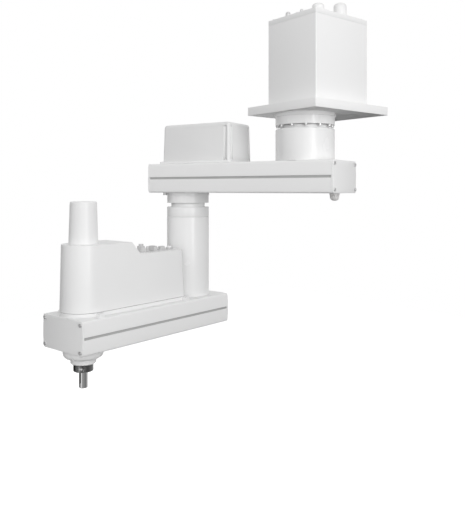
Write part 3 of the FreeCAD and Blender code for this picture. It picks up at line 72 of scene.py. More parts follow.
# Where each link's own frame lies: turn about Z in degrees, then the place of its axis in metres
LINK_PLACES = {
    "base": (0.0, (0.0, 0.0)),
    "first": (0.0, (0.046, 0.0)),
    "upper": (-71.1, (0.046, 0.0)),
    "elbow": (10.2, (0.159371, -0.331130)),
    "quill": (10.2, (0.503840, -0.269150)),
}


# Camera
def place_camera():
    data = bpy.data.cameras.new("photo_camera")
    data.sensor_width = 36.0
    data.lens = 42.25
    data.shift_x = 0.0217
    data.shift_y = -0.136
    data.clip_end = 60.0
    data.dof.use_dof = False
    camera = bpy.data.objects.new("photo_camera", data)
    bpy.context.collection.objects.link(camera)
    camera.location = (1.1489, 1.0317, -0.2043)
    camera.rotation_euler = (math.radians(90.0), 0.0, math.radians(140.9))
    bpy.context.scene.camera = camera


# Selection and edit mode
def clear_selection():
    bpy.ops.object.select_all(action="DESELECT")


def take(piece):
    clear_selection()
    piece.select_set(True)
    bpy.context.view_layer.objects.active = piece


def open_mesh(piece, kind="FACE"):
    take(piece)
    bpy.ops.object.mode_set(mode="EDIT")
    bpy.ops.mesh.select_mode(type=kind)
    bpy.ops.mesh.select_all(action="DESELECT")


def close_mesh():
    bpy.ops.object.mode_set(mode="OBJECT")


def choose_faces(piece, test):
    bpy.ops.mesh.select_mode(type="FACE")
    bpy.ops.mesh.select_all(action="DESELECT")
    shape = bmesh.from_edit_mesh(piece.data)
    for face in shape.faces:
        if test(face.calc_center_median() / MM, face.normal):
            face.select_set(True)
    shape.select_flush_mode()
    bmesh.update_edit_mesh(piece.data)


def choose_edges(piece, test):
    bpy.ops.mesh.select_mode(type="EDGE")
    bpy.ops.mesh.select_all(action="DESELECT")
    shape = bmesh.from_edit_mesh(piece.data)
    for edge in shape.edges:
        if test(edge.verts[0].co / MM, edge.verts[1].co / MM):
            edge.select_set(True)
    bmesh.update_edit_mesh(piece.data)


def choose_points(piece, test):
    bpy.ops.mesh.select_mode(type="VERT")
    bpy.ops.mesh.select_all(action="DESELECT")
    shape = bmesh.from_edit_mesh(piece.data)
    for point in shape.verts:
        if test(point.co / MM):
            point.select_set(True)
    shape.select_flush_mode()
    bmesh.update_edit_mesh(piece.data)


# Primitives and finishing
def name_piece(name):
    piece = bpy.context.active_object
    piece.name = name
    piece.data.name = name
    return piece


def tidy_normals(piece):
    open_mesh(piece)
    bpy.ops.mesh.select_all(action="SELECT")
    bpy.ops.mesh.remove_doubles(threshold=0.00001)
    bpy.ops.mesh.normals_make_consistent(inside=False)
    close_mesh()


def soften(piece, width, segments=3, angle=32.0):
    """Small rounding on every sharp edge."""
    take(piece)
    bevel = piece.modifiers.new("soft_edges", "BEVEL")
    bevel.width = width * MM
    bevel.segments = segments
    bevel.limit_method = "ANGLE"
    bevel.angle_limit = math.radians(angle)
    bpy.ops.object.modifier_apply(modifier="soft_edges")


def carve(piece, cutters, solver="EXACT"):
    """Cuts other pieces out of this one."""
    for cutter in cutters:
        take(piece)
        change = piece.modifiers.new("carved", "BOOLEAN")
        change.object = cutter
        change.operation = "DIFFERENCE"
        change.solver = solver
        bpy.ops.object.modifier_apply(modifier="carved")
        bpy.data.objects.remove(cutter, do_unlink=True)


def smooth(piece, angle=30.0):
    take(piece)
    bpy.ops.object.shade_smooth_by_angle(angle=math.radians(angle))


def finish_piece(piece, place, body, nodes, slot, finish=None):
    """Turns a piece to its link, fixes its place in its mesh and gives it to its body."""
    turn, origin = LINK_PLACES[place]
    take(piece)
    piece.rotation_euler = (0.0, 0.0, math.radians(turn))
    piece.location = (origin[0], origin[1], 0.0)
    bpy.ops.object.transform_apply(location=True, rotation=True, scale=True)
    smooth(piece)
    piece.data.materials.clear()
    piece.data.materials.append(FINISHES[finish or slot])
    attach(piece, body)
    if nodes:
        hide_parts(*nodes)
    clear_selection()


def rough_block(name, x_pair, y_pair, z_pair):
    """Cube between corner values in millimetres, its place kept in its mesh."""
    clear_selection()
    size = [(pair[1] - pair[0]) * MM for pair in (x_pair, y_pair, z_pair)]
    middle = [(pair[1] + pair[0]) / 2 * MM for pair in (x_pair, y_pair, z_pair)]
    bpy.ops.mesh.primitive_cube_add(size=1.0, location=middle, scale=size)
    piece = name_piece(name)
    take(piece)
    bpy.ops.object.transform_apply(location=True, rotation=True, scale=True)
    return piece


def bevel_chosen(width, segments):
    """Rounds the edges chosen in edit mode."""
    bpy.ops.mesh.bevel(
        offset=width * MM, offset_type="OFFSET", segments=segments, profile=0.5, affect="EDGES")


def round_upright_edges(piece, width, segments, test=None):
    """Rounds the upright edges, all of them or those at the chosen places."""
    open_mesh(piece, "EDGE")
    choose_edges(piece, lambda a, b: abs(a.x - b.x) + abs(a.y - b.y) < 0.01
                 and (test is None or test(a)))
    bevel_chosen(width, segments)
    close_mesh()


def turned(name, outline, place=(0.0, 0.0), sides=96):
    """Round piece: a filled circle extruded and resized along its outline, bottom to top."""
    clear_selection()
    x, y = place[0] * MM, place[1] * MM
    radius, height = outline[0]
    bpy.ops.mesh.primitive_circle_add(
        vertices=sides, radius=radius * MM, fill_type="NGON", location=(x, y, height * MM))
    piece = name_piece(name)
    take(piece)
    bpy.ops.object.transform_apply(location=True, rotation=True, scale=True)
    open_mesh(piece)
    bpy.ops.mesh.select_all(action="SELECT")
    for next_radius, next_height in outline[1:]:
        lift = (0.0, 0.0, (next_height - height) * MM)
        bpy.ops.mesh.extrude_region_move(TRANSFORM_OT_translate={"value": lift})
        size = next_radius / radius
        bpy.ops.transform.resize(value=(size, size, 1.0), center_override=(x, y, next_height * MM))
        radius, height = next_radius, next_height
    close_mesh()
    tidy_normals(piece)
    return piece


def arc(centre, radius, start, stop, steps):
    """Outline points on an arc, centre given as radius and height, angles from the outside up."""
    points = []
    for index in range(steps + 1):
        angle = math.radians(start + (stop - start) * index / steps)
        points.append((centre[0] + radius * math.cos(angle), centre[1] + radius * math.sin(angle)))
    return points


# Node groups that several finishes share
def new_group(name, inputs, outputs):
    group = bpy.data.node_groups.new(name, "ShaderNodeTree")
    for label, kind, value in inputs:
        socket = group.interface.new_socket(name=label, in_out="INPUT", socket_type=kind)
        if value is not None:
            socket.default_value = value
    for label, kind in outputs:
        group.interface.new_socket(name=label, in_out="OUTPUT", socket_type=kind)
    return group, group.nodes.new("NodeGroupInput"), group.nodes.new("NodeGroupOutput")


def build_paint_skin():
    """Slow patches of tone and a fine orange-peel surface."""
    group, entry, result = new_group(
        "paint_skin",
        [("Vector", "NodeSocketVector", None),
         ("Colour", "NodeSocketColor", (0.8, 0.8, 0.8, 1.0)),
         ("Patch Colour", "NodeSocketColor", (0.7, 0.7, 0.7, 1.0)),
         ("Patch Scale", "NodeSocketFloat", 6.0), ("Grain Scale", "NodeSocketFloat", 900.0),
         ("Smooth", "NodeSocketFloat", 0.35), ("Rough", "NodeSocketFloat", 0.5)],
        [("Colour", "NodeSocketColor"), ("Roughness", "NodeSocketFloat"),
         ("Height", "NodeSocketFloat")])
    nodes, links = group.nodes, group.links
    patches = nodes.new("ShaderNodeTexNoise")
    patches.inputs["Detail"].default_value = 3.0
    grain = nodes.new("ShaderNodeTexNoise")
    grain.inputs["Detail"].default_value = 2.0
    tone = nodes.new("ShaderNodeMapRange")
    tone.inputs["From Min"].default_value = 0.15
    tone.inputs["From Max"].default_value = 0.85
    blend = nodes.new("ShaderNodeMix")
    blend.data_type = "RGBA"
    gloss = nodes.new("ShaderNodeMapRange")
    gloss.inputs["From Min"].default_value = 0.15
    gloss.inputs["From Max"].default_value = 0.85
    links.new(entry.outputs["Vector"], patches.inputs["Vector"])
    links.new(entry.outputs["Vector"], grain.inputs["Vector"])
    links.new(entry.outputs["Patch Scale"], patches.inputs["Scale"])
    links.new(entry.outputs["Grain Scale"], grain.inputs["Scale"])
    links.new(patches.outputs["Fac"], tone.inputs["Value"])
    links.new(tone.outputs["Result"], blend.inputs["Factor"])
    links.new(entry.outputs["Colour"], blend.inputs["A"])
    links.new(entry.outputs["Patch Colour"], blend.inputs["B"])
    links.new(patches.outputs["Fac"], gloss.inputs["Value"])
    links.new(entry.outputs["Smooth"], gloss.inputs["To Min"])
    links.new(entry.outputs["Rough"], gloss.inputs["To Max"])
    links.new(blend.outputs["Result"], result.inputs["Colour"])
    links.new(gloss.outputs["Result"], result.inputs["Roughness"])
    links.new(grain.outputs["Fac"], result.inputs["Height"])
    return group


def build_turning_marks():
    """Fine rings left by a lathe, stacked along Z."""
    group, entry, result = new_group(
        "turning_marks",
        [("Vector", "NodeSocketVector", None), ("Rings", "NodeSocketFloat", 400.0),
         ("Smooth", "NodeSocketFloat", 0.2), ("Rough", "NodeSocketFloat", 0.4)],
        [("Roughness", "NodeSocketFloat"), ("Height", "NodeSocketFloat")])
    nodes, links = group.nodes, group.links
    bands = nodes.new("ShaderNodeTexWave")
    bands.wave_type = "BANDS"
    bands.bands_direction = "Z"
    bands.inputs["Distortion"].default_value = 1.5
    bands.inputs["Detail"].default_value = 2.0
    gloss = nodes.new("ShaderNodeMapRange")
    links.new(entry.outputs["Vector"], bands.inputs["Vector"])
    links.new(entry.outputs["Rings"], bands.inputs["Scale"])
    links.new(bands.outputs["Fac"], gloss.inputs["Value"])
    links.new(entry.outputs["Smooth"], gloss.inputs["To Min"])
    links.new(entry.outputs["Rough"], gloss.inputs["To Max"])
    links.new(gloss.outputs["Result"], result.inputs["Roughness"])
    links.new(bands.outputs["Fac"], result.inputs["Height"])
    return group


def build_edge_tone_and_crease_shade():
    """Mask that darkens sharp outer edges and paints shade into inner creases, broken up by noise.
    """
    group, entry, result = new_group(
        "edge_tone_and_crease_shade",
        [("Vector", "NodeSocketVector", None), ("Width", "NodeSocketFloat", 0.002),
         ("Amount", "NodeSocketFloat", 0.5)],
        [("Mask", "NodeSocketFloat")])
    nodes, links = group.nodes, group.links
    # The bevel normal turns away at outer edges and inner creases alike, so the creases get painted
    # shade
    rounded = nodes.new("ShaderNodeBevel")
    rounded.samples = 4
    plain = nodes.new("ShaderNodeNewGeometry")
    match = nodes.new("ShaderNodeVectorMath")
    match.operation = "DOT_PRODUCT"
    rim = nodes.new("ShaderNodeMapRange")
    rim.inputs["From Min"].default_value = 1.0
    rim.inputs["From Max"].default_value = 0.75
    speckle = nodes.new("ShaderNodeTexNoise")
    speckle.inputs["Scale"].default_value = 60.0
    breakup = nodes.new("ShaderNodeMath")
    breakup.operation = "MULTIPLY"
    strength = nodes.new("ShaderNodeMath")
    strength.operation = "MULTIPLY"
    links.new(entry.outputs["Width"], rounded.inputs["Radius"])
    links.new(rounded.outputs["Normal"], match.inputs[0])
    links.new(plain.outputs["Normal"], match.inputs[1])
    links.new(match.outputs["Value"], rim.inputs["Value"])
    links.new(entry.outputs["Vector"], speckle.inputs["Vector"])
    links.new(rim.outputs["Result"], breakup.inputs[0])
    links.new(speckle.outputs["Fac"], breakup.inputs[1])
    links.new(breakup.outputs["Value"], strength.inputs[0])
    links.new(entry.outputs["Amount"], strength.inputs[1])
    links.new(strength.outputs["Value"], result.inputs["Mask"])
    return group


def grey(value, warm=0.0):
    return (value + warm, value, value - warm, 1.0)


def new_finish(name):
    material = bpy.data.materials.new(name)
    material.use_nodes = True
    nodes, links = material.node_tree.nodes, material.node_tree.links
    shader = nodes["Principled BSDF"]
    place = nodes.new("ShaderNodeTexCoord")
    return material, nodes, links, shader, place


def add_group(nodes, group, values):
    node = nodes.new("ShaderNodeGroup")
    node.node_tree = group
    for label, value in values.items():
        node.inputs[label].default_value = value
    return node


def add_bump(nodes, links, height, shader, strength, distance):
    bump = nodes.new("ShaderNodeBump")
    bump.inputs["Strength"].default_value = strength
    bump.inputs["Distance"].default_value = distance * MM
    links.new(height, bump.inputs["Height"])
    links.new(bump.outputs["Normal"], shader.inputs["Normal"])


def painted(name, tone, patch, scale, grain, smooth_value, rough_value, bump, edge_darkening,
            specular=0.5):
    """Paints and plastics: paint skin, darker along sharp edges, with painted shade in the creases.
    """
    material, nodes, links, shader, place = new_finish(name)
    skin = add_group(nodes, GROUPS["paint_skin"], {
        "Colour": tone, "Patch Colour": patch, "Patch Scale": scale, "Grain Scale": grain,
        "Smooth": smooth_value, "Rough": rough_value})
    # Edges and creases darkened toward grey: a darker tone on the outer edges, painted shade in the
    # creases
    edges = add_group(nodes, GROUPS["edge_tone_and_crease_shade"], {"Width": 0.0015, "Amount": edge_darkening})
    edge_darkened = nodes.new("ShaderNodeMix")
    edge_darkened.data_type = "RGBA"
    edge_darkened.inputs["B"].default_value = grey(0.62)
    links.new(place.outputs["Object"], skin.inputs["Vector"])
    links.new(place.outputs["Object"], edges.inputs["Vector"])
    links.new(edges.outputs["Mask"], edge_darkened.inputs["Factor"])
    links.new(skin.outputs["Colour"], edge_darkened.inputs["A"])
    links.new(edge_darkened.outputs["Result"], shader.inputs["Base Color"])
    links.new(skin.outputs["Roughness"], shader.inputs["Roughness"])
    shader.inputs["Specular IOR Level"].default_value = specular
    add_bump(nodes, links, skin.outputs["Height"], shader, bump, 0.05)
    return material


def lathed(name, tone, patch, metallic, rings, smooth_value, rough_value, bump):
    """Turned metal: lathe rings over slow patches of tone."""
    material, nodes, links, shader, place = new_finish(name)
    skin = add_group(nodes, GROUPS["paint_skin"], {
        "Colour": tone, "Patch Colour": patch, "Patch Scale": 40.0, "Grain Scale": 1500.0})
    marks = add_group(nodes, GROUPS["turning_marks"], {
        "Rings": rings, "Smooth": smooth_value, "Rough": rough_value})
    links.new(place.outputs["Object"], skin.inputs["Vector"])
    links.new(place.outputs["Object"], marks.inputs["Vector"])
    links.new(skin.outputs["Colour"], shader.inputs["Base Color"])
    links.new(marks.outputs["Roughness"], shader.inputs["Roughness"])
    shader.inputs["Metallic"].default_value = metallic
    add_bump(nodes, links, marks.outputs["Height"], shader, bump, 0.02)
    return material


GROUPS = {
    "paint_skin": build_paint_skin(),
    "turning_marks": build_turning_marks(),
    "edge_tone_and_crease_shade": build_edge_tone_and_crease_shade(),
}

# Values stand in the order that painted and lathed take them
FINISHES = {}
for name, kind, *values in (
        ("white_paint", painted, grey(0.865), grey(0.845), 5.0, 700.0, 0.30, 0.36, 0.08, 0.25),
        ("white_cast", painted, grey(0.86), grey(0.83), 14.0, 1100.0, 0.23, 0.29, 0.06, 0.35),
        ("white_cover", painted, grey(0.87), grey(0.85), 7.0, 1600.0, 0.27, 0.32, 0.08, 0.10),
        ("hood_cover", painted, grey(0.79), grey(0.77), 7.0, 1600.0, 0.30, 0.36, 0.08, 0.10),
        ("beam_coat", painted, grey(0.86), grey(0.84), 4.0, 500.0, 0.27, 0.32, 0.05, 0.30),
        ("plate_cast", painted, grey(0.86), grey(0.82), 10.0, 1100.0, 0.50, 0.62, 0.10, 0.30, 0.0),
        # Lighter copy of the cast paint for the dome: painted light on its downward faces, which
        # the lamps leave too dim
        ("dome_cast_painted_light", painted, grey(0.94), grey(0.90), 14.0, 1100.0, 0.36, 0.50, 0.10, 0.20),
        # Strips that fill the beam slots: their grey is painted shade standing in for the dark
        # inside the slot
        ("slot_grey", painted, grey(0.44), grey(0.39), 20.0, 900.0, 0.55, 0.70, 0.20, 0.0),
        ("grey_plastic", painted, grey(0.62), grey(0.56), 30.0, 1500.0, 0.45, 0.60, 0.15, 0.10),
        ("pale_metal", lathed, grey(0.88), grey(0.82), 0.55, 2200.0, 0.40, 0.52, 0.05),
        ("pale_plastic", painted, grey(0.84), grey(0.80), 30.0, 1500.0, 0.40, 0.55, 0.12, 0.10),
        ("black_motor", painted, grey(0.03), grey(0.045), 20.0, 900.0, 0.40, 0.55, 0.15, 0.10),
        ("belt_rubber", painted, grey(0.02), grey(0.035), 30.0, 1200.0, 0.70, 0.85, 0.30, 0.0),
        ("lamp_lens", painted, grey(0.82, 0.01), grey(0.76, 0.01), 60.0, 800.0, 0.25, 0.38,
         0.10, 0.0),
        ("bright_screw", lathed, grey(0.86), grey(0.78), 1.0, 2200.0, 0.34, 0.46, 0.05),
        ("machined_steel", lathed, grey(0.62), grey(0.54), 1.0, 2000.0, 0.22, 0.36, 0.08),
        ("dark_steel", lathed, grey(0.31), grey(0.25), 1.0, 2200.0, 0.10, 0.18, 0.04),
        ("chrome_shaft", lathed, grey(0.82), grey(0.78), 1.0, 2500.0, 0.05, 0.10, 0.03),
        ("aluminium_raw", lathed, grey(0.60), grey(0.52), 1.0, 500.0, 0.28, 0.45, 0.15)):
    FINISHES[name] = kind(name, *values)


def dress_frame():
    """Gives every CAD piece the finish its slot names."""
    for entry in frame["record"]["subparts"]:
        node = frame["nodes"][entry["node"]]
        finish = FINISHES[entry["material_slot"]]
        if not node.data.materials:
            node.data.materials.append(finish)
        for index in range(len(node.material_slots)):
            node.material_slots[index].material = finish


# Small parts
def socket_head(name, place, height, radius, tall, facing=-1.0):
    """Socket screw head: turned head with a hexagon recess, facing down or up."""
    head = turned(name, [(radius, height), (radius, height + facing * tall)], place, 32)
    soften(head, 0.35, 2, 50.0)
    key = turned("key_cutter", [(0.55 * radius, height + facing * 0.4 * tall),
                                (0.55 * radius, height + facing * 1.5 * tall)], place, 6)
    carve(head, [key])
    return head


def join_pieces(pieces):
    take(pieces[0])
    for piece in pieces[1:]:
        piece.select_set(True)
    bpy.ops.object.join()
    return pieces[0]


def copied(piece, places):
    """The piece at the first place and a copy of it, with its own mesh, at each of the others."""
    found = [piece]
    for x, y in places[1:]:
        take(piece)
        bpy.ops.object.duplicate(linked=False)
        twin = bpy.context.active_object
        twin.location = ((x - places[0][0]) * MM, (y - places[0][1]) * MM, 0.0)
        bpy.ops.object.transform_apply(location=True, rotation=True, scale=True)
        found.append(twin)
    clear_selection()
    return found


def spots(count, radius, start):
    """Evenly spaced places on a circle."""
    found = []
    for index in range(count):
        angle = math.radians(start + 360.0 * index / count)
        found.append((radius * math.cos(angle), radius * math.sin(angle)))
    return found


def span(node, axis):
    """Low and high value of a CAD piece along one axis, in millimetres."""
    low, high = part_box(node)
    return low[axis] / MM, high[axis] / MM


def bore(piece, radius):
    """Round way through the whole piece along its axis."""
    carve(piece, [turned("bore_cutter", [(radius, -700.0), (radius, 300.0)])])


def plain_ring(name, inner, outer, low, high):
    """Turned ring with a round way through it."""
    ring = turned(name, [(inner, low), (outer, low), (outer, high), (inner, high)])
    bore(ring, inner)
    return ring


# Base
def make_base():
    x_pair, y_pair = span("base_housing", 0), span("base_housing", 1)
    lid_join = span("base_housing", 2)[1]
    shell = rough_block("housing_shell", x_pair, y_pair, (0.0, lid_join - 0.3))
    round_upright_edges(shell, 3.0, 5)
    soften(shell, 0.15, 2, 50.0)
    finish_piece(shell, "base", "base", ["base_housing"], "white_paint")
    make_lid(lid_join)
    slab = rough_block("plate_slab", (-PLATE_HALF_X, PLATE_HALF_X), (-PLATE_HALF_Y, PLATE_HALF_Y),
                       (PLATE_LOW, 0.0))
    round_upright_edges(slab, 1.2, 3)
    corners = [(-BOLT_X, -BOLT_Y), (-BOLT_X, BOLT_Y), (BOLT_X, -BOLT_Y), (BOLT_X, BOLT_Y)]
    outline = [(BOLT_BORE, PLATE_LOW - PAST), (BOLT_BORE, PAST)]
    holes = copied(turned("bolt_bore", outline, corners[0], 48), corners)
    outline = [(38.0, PLATE_LOW - PAST), (38.0, PAST)]
    holes.append(turned("motor_bore", outline, (FIRST_AXIS, 0.0)))
    carve(slab, holes)
    soften(slab, 0.7, 3, 50.0)
    finish_piece(slab, "base", "base", ["base_plate"], "white_cast", "plate_cast")
    ring = plain_ring("first_ring_turned", 50.0, 74.5, FIRST_RING_LOW, PLATE_LOW)
    soften(ring, 0.8)
    finish_piece(ring, "first", "base", ["first_mount_ring"], "white_cast")
    case = plain_ring("first_case_turned", 50.0, 72.0, FIRST_CASE_LOW, FIRST_RING_LOW)
    soften(case, 0.9)
    finish_piece(case, "first", "base", ["first_bearing_case"], "white_cast")


def make_lid(lid_join):
    """Flush lid with a hairline joint, and the fittings that stand on it."""
    x_pair, y_pair = span("base_housing", 0), span("base_housing", 1)
    top = span("base_lid", 2)[1]
    lid = rough_block("housing_lid", x_pair, y_pair, (lid_join - 0.2, top))
    round_upright_edges(lid, 3.0, 5)
    soften(lid, 0.25, 2, 50.0)
    finish_piece(lid, "base", "base", ["base_lid"], "white_paint")
    middle = (-32.0, 45.0)
    nut = turned("gland_nut", [(19.0, top), (19.0, top + 11.0)], middle, 6)
    soften(nut, 0.8, 2, 20.0)
    outline = [(15.0, top + 10.0), (16.0, top + 11.5), (16.0, top + 28.0)]
    outline += arc((7.0, top + 30.0), 9.0, 0.0, 78.0, 7)
    dome = turned("gland_dome", outline + [(6.4, top + 39.6)], middle, 64)
    carve(dome, [turned("cable_way", [(5.5, top + 25.0), (5.5, top + 50.0)], middle, 48)])
    gland = join_pieces([nut, dome])
    gland.name = "gland_with_nut"
    finish_piece(gland, "base", "base", ["cable_gland"], "grey_plastic", "pale_plastic")
    middle = (48.0, 45.0)
    outline = [(16.4, top), (16.4, top + 3.0), (14.6, top + 3.5), (14.6, top + 16.0)]
    outline += arc((7.6, top + 16.5), 7.0, 5.0, 85.0, 6)
    socket = turned("power_socket", outline, middle, 64)
    soften(socket, 0.4, 2, 40.0)
    finish_piece(socket, "base", "base", ["power_connector"], "grey_plastic", "pale_plastic")
    small = []
    for x, y, radius, tall in (
            (64.0, -40.0, 7.5, 20.0), (58.0, -15.0, 5.0, 15.0), (68.0, 10.0, 5.0, 15.0)):
        nut = turned("small_nut", [(radius, top), (radius, top + 0.5 * tall)], (x, y), 6)
        soften(nut, 0.5, 2, 20.0)
        outline = [(0.8 * radius, top + 0.4 * tall), (0.8 * radius, top + 0.8 * tall),
                   (0.68 * radius, top + 0.93 * tall), (0.42 * radius, top + tall)]
        cap = turned("small_cap", outline, (x, y), 32)
        outline = [(0.3 * radius, top + 0.6 * tall), (0.3 * radius, top + 30.0)]
        carve(cap, [turned("small_way", outline, (x, y), 24)])
        small += [nut, cap]
    small = join_pieces(small)
    finish_piece(small, "base", "base", ["lid_fittings"], "aluminium_raw", "pale_metal")


# Links
def extrusion(name, x_low, x_high, low, rows):
    """Block with the beam's crowned sides and rounded long corners, cut in rows."""
    tall, half, bulge = BEAM_TALL, BEAM_HALF, 2.3
    middle = low + tall / 2
    piece = rough_block(name, (x_low, x_high), (-half, half), (low, low + tall))
    open_mesh(piece)
    for row in rows:
        bpy.ops.mesh.select_all(action="SELECT")
        bpy.ops.mesh.bisect(plane_co=(0.0, 0.0, (middle + row) * MM), plane_no=(0.0, 0.0, 1.0))
    for row in rows + [-tall / 2, tall / 2]:
        choose_points(piece, lambda p: abs(p.z - middle - row) < 0.01)
        narrow = 1.0 - bulge * (2.0 * row / tall) ** 2 / half
        bpy.ops.transform.resize(
            value=(1.0, narrow, 1.0), center_override=(0.0, 0.0, (middle + row) * MM))
    choose_edges(piece, lambda a, b: abs(a.y - b.y) < 0.01 and abs(a.z - b.z) < 0.01
                 and abs(a.y) > half - bulge - 0.1 and abs(abs(a.z - middle) - tall / 2) < 0.01)
    bevel_chosen(4.5, 6)
    close_mesh()
    return piece


def make_beam(name, x_low, x_high, low, place, body, node, ways):
    """Extruded hollow beam with a slot let into each side and round ways cut through."""
    middle = low + BEAM_TALL / 2
    rows = [-32.0, -27.0, -21.0, -14.0, -8.0, -3.0, 3.0, 8.0, 14.0, 21.0, 27.0, 32.0]
    piece = extrusion(name, x_low, x_high, low, rows)
    open_mesh(piece)
    for end in (x_low + 0.6, x_high - 0.6):
        bpy.ops.mesh.select_all(action="SELECT")
        bpy.ops.mesh.bisect(plane_co=(end * MM, 0.0, 0.0), plane_no=(1.0, 0.0, 0.0))
    for side in (-1.0, 1.0):
        choose_faces(piece, lambda c, n: n.y * side > 0.9 and abs(c.z - middle) < 2.9
                     and x_low + 1.0 < c.x < x_high - 1.0)
        inward = (0.0, -side * 3.6 * MM, 0.0)
        bpy.ops.mesh.extrude_region_move(TRANSFORM_OT_translate={"value": inward})
    close_mesh()
    tidy_normals(piece)
    side, floor = 10.0, 5.0
    room = rough_block("beam_room", (x_low - PAST, x_high + PAST),
                       (side - BEAM_HALF, BEAM_HALF - side), (low + floor, low + BEAM_TALL - floor))
    carve(piece, [room] + ways)
    soften(piece, 0.4, 2, 50.0)
    finish_piece(piece, place, body, [node], "beam_coat")


def make_end_plates(name, x_low, x_high, low, place, body, node):
    """Cast plates that close a beam, one at each end, joined into one piece."""
    plates, gap = [], 0.1
    for start, stop in ((x_low - END_THICK, x_low), (x_high, x_high + END_THICK)):
        plate = extrusion(name, start + gap, stop - gap, low, [-27.0, -14.0, 0.0, 14.0, 27.0])
        tidy_normals(plate)
        soften(plate, 0.7, 3, 50.0)
        plates.append(plate)
    finish_piece(join_pieces(plates), place, body, [node], "white_paint")


def make_upper_arm():
    low, high = span("first_column", 2)
    outline = [(72.0, low), (72.0, -60.0), (70.0, -58.0), (59.0, -58.0), (59.0, high)]
    column = turned("first_column_turned", outline)
    bore(column, 24.0)
    soften(column, 0.5)
    finish_piece(column, "first", "upper_arm", ["first_column"], "white_cast")
    beam_low = span("upper_beam", 2)[0]
    outline = [(40.0, beam_low - PAST), (40.0, beam_low + 10.0)]
    way = turned("gear_way", outline, (LINK_LENGTH, 0.0))
    ends = (-99.0, 425.5)
    make_beam("upper_beam_extrusion", *ends, beam_low, "upper", "upper_arm", "upper_beam", [way])
    make_end_plates("upper_beam_ends", *ends, beam_low, "upper", "upper_arm", "upper_end_plates")
    low, high = span("second_mount_ring", 2)
    ring = plain_ring("second_ring_turned", 40.0, 58.5, low, high)
    soften(ring, 0.8)
    finish_piece(ring, "elbow", "upper_arm", ["second_mount_ring"], "white_cast")
    low, high = span("second_bearing_case", 2)
    case = turned("second_case_turned", [(40.0, low), (57.0, low), (57.0, high), (40.0, high)])
    places = spots(8, 50.5, 22.5)
    outline = [(3.7, low - PAST), (3.7, high - 4.0)]
    carve(case, copied(turned("screw_well", outline, places[0], 32), places))
    bore(case, 40.0)
    soften(case, 0.7)
    finish_piece(case, "elbow", "upper_arm", ["second_bearing_case"], "white_cast")
    make_motor_cover()
    make_lamp()


def make_lamp():
    """Signal lamp: round base and a ribbed lens with a domed end."""
    low, high = span("status_lamp", 2)
    place = (-76.7, 0.0)
    base = turned("lamp_base", [(11.4, high - 5.0), (12.0, high - 4.4), (12.0, high)], place, 64)
    outline = [(3.0, low), (6.4, low + 0.9), (8.9, low + 2.8), (10.3, low + 5.2),
               (10.9, low + 8.4), (10.9, high - 4.0)]
    lens = turned("lamp_lens", outline, place, 72)
    places = [(place[0] + x, y) for x, y in spots(12, 11.0, 15.0)]
    outline = [(0.7, low - 2.0), (0.7, high - 5.0)]
    carve(lens, copied(turned("rib_cutter", outline, places[0], 12), places))
    lamp = join_pieces([base, lens])
    finish_piece(lamp, "upper", "upper_arm", ["status_lamp"], "lamp_lens")


def make_motor_cover():
    """Moulded hood of the second motor, with a flute for each screw, on its foot."""
    back, front, half = 182.0, 394.5, 57.0
    middle, draft = (back + front) / 2, (0.972, 0.968, 1.0)
    low, high = span("motor_cover", 2)
    hood = rough_block("motor_hood", (back, front), (-half, half), (low, high))
    open_mesh(hood, "VERT")
    choose_points(hood, lambda p: p.z > high - 1.0)
    bpy.ops.transform.resize(value=draft, center_override=(middle * MM, 0.0, 0.0))
    close_mesh()
    open_mesh(hood, "EDGE")
    choose_edges(hood, lambda a, b: abs(a.z - b.z) > 10.0)
    bevel_chosen(8.0, 8)
    choose_edges(hood, lambda a, b: abs(a.z - high) < 0.01 and abs(b.z - high) < 0.01)
    bevel_chosen(7.6, 7)
    close_mesh()
    tidy_normals(hood)
    along, inset = 13.0, 1.4
    places = [(back + along, half - inset), (back + along, inset - half),
              (back + inset, half - along), (back + inset, along - half),
              (front - inset, half - along), (front - inset, along - half)]
    outline = [(5.0, low - PAST), (5.0, high - 14.0)] + arc((0.0, high - 14.0), 5.0, 15.0, 80.0, 5)
    carve(hood, copied(turned("flute", outline, places[0], 32), places))
    soften(hood, 1.2, 3, 40.0)
    finish_piece(hood, "upper", "upper_arm", ["motor_cover"], "white_cover", "hood_cover")
    foot_low, foot_high = span("motor_cover_foot", 2)
    ledge = 1.5
    foot = rough_block("motor_hood_foot", (back - ledge, front + 10.0),
                       (-half - ledge, half + ledge), (foot_low, foot_high))
    round_upright_edges(foot, 6.0, 6)
    soften(foot, 1.2, 3, 50.0)
    finish_piece(foot, "upper", "upper_arm", ["motor_cover_foot"], "white_cast")


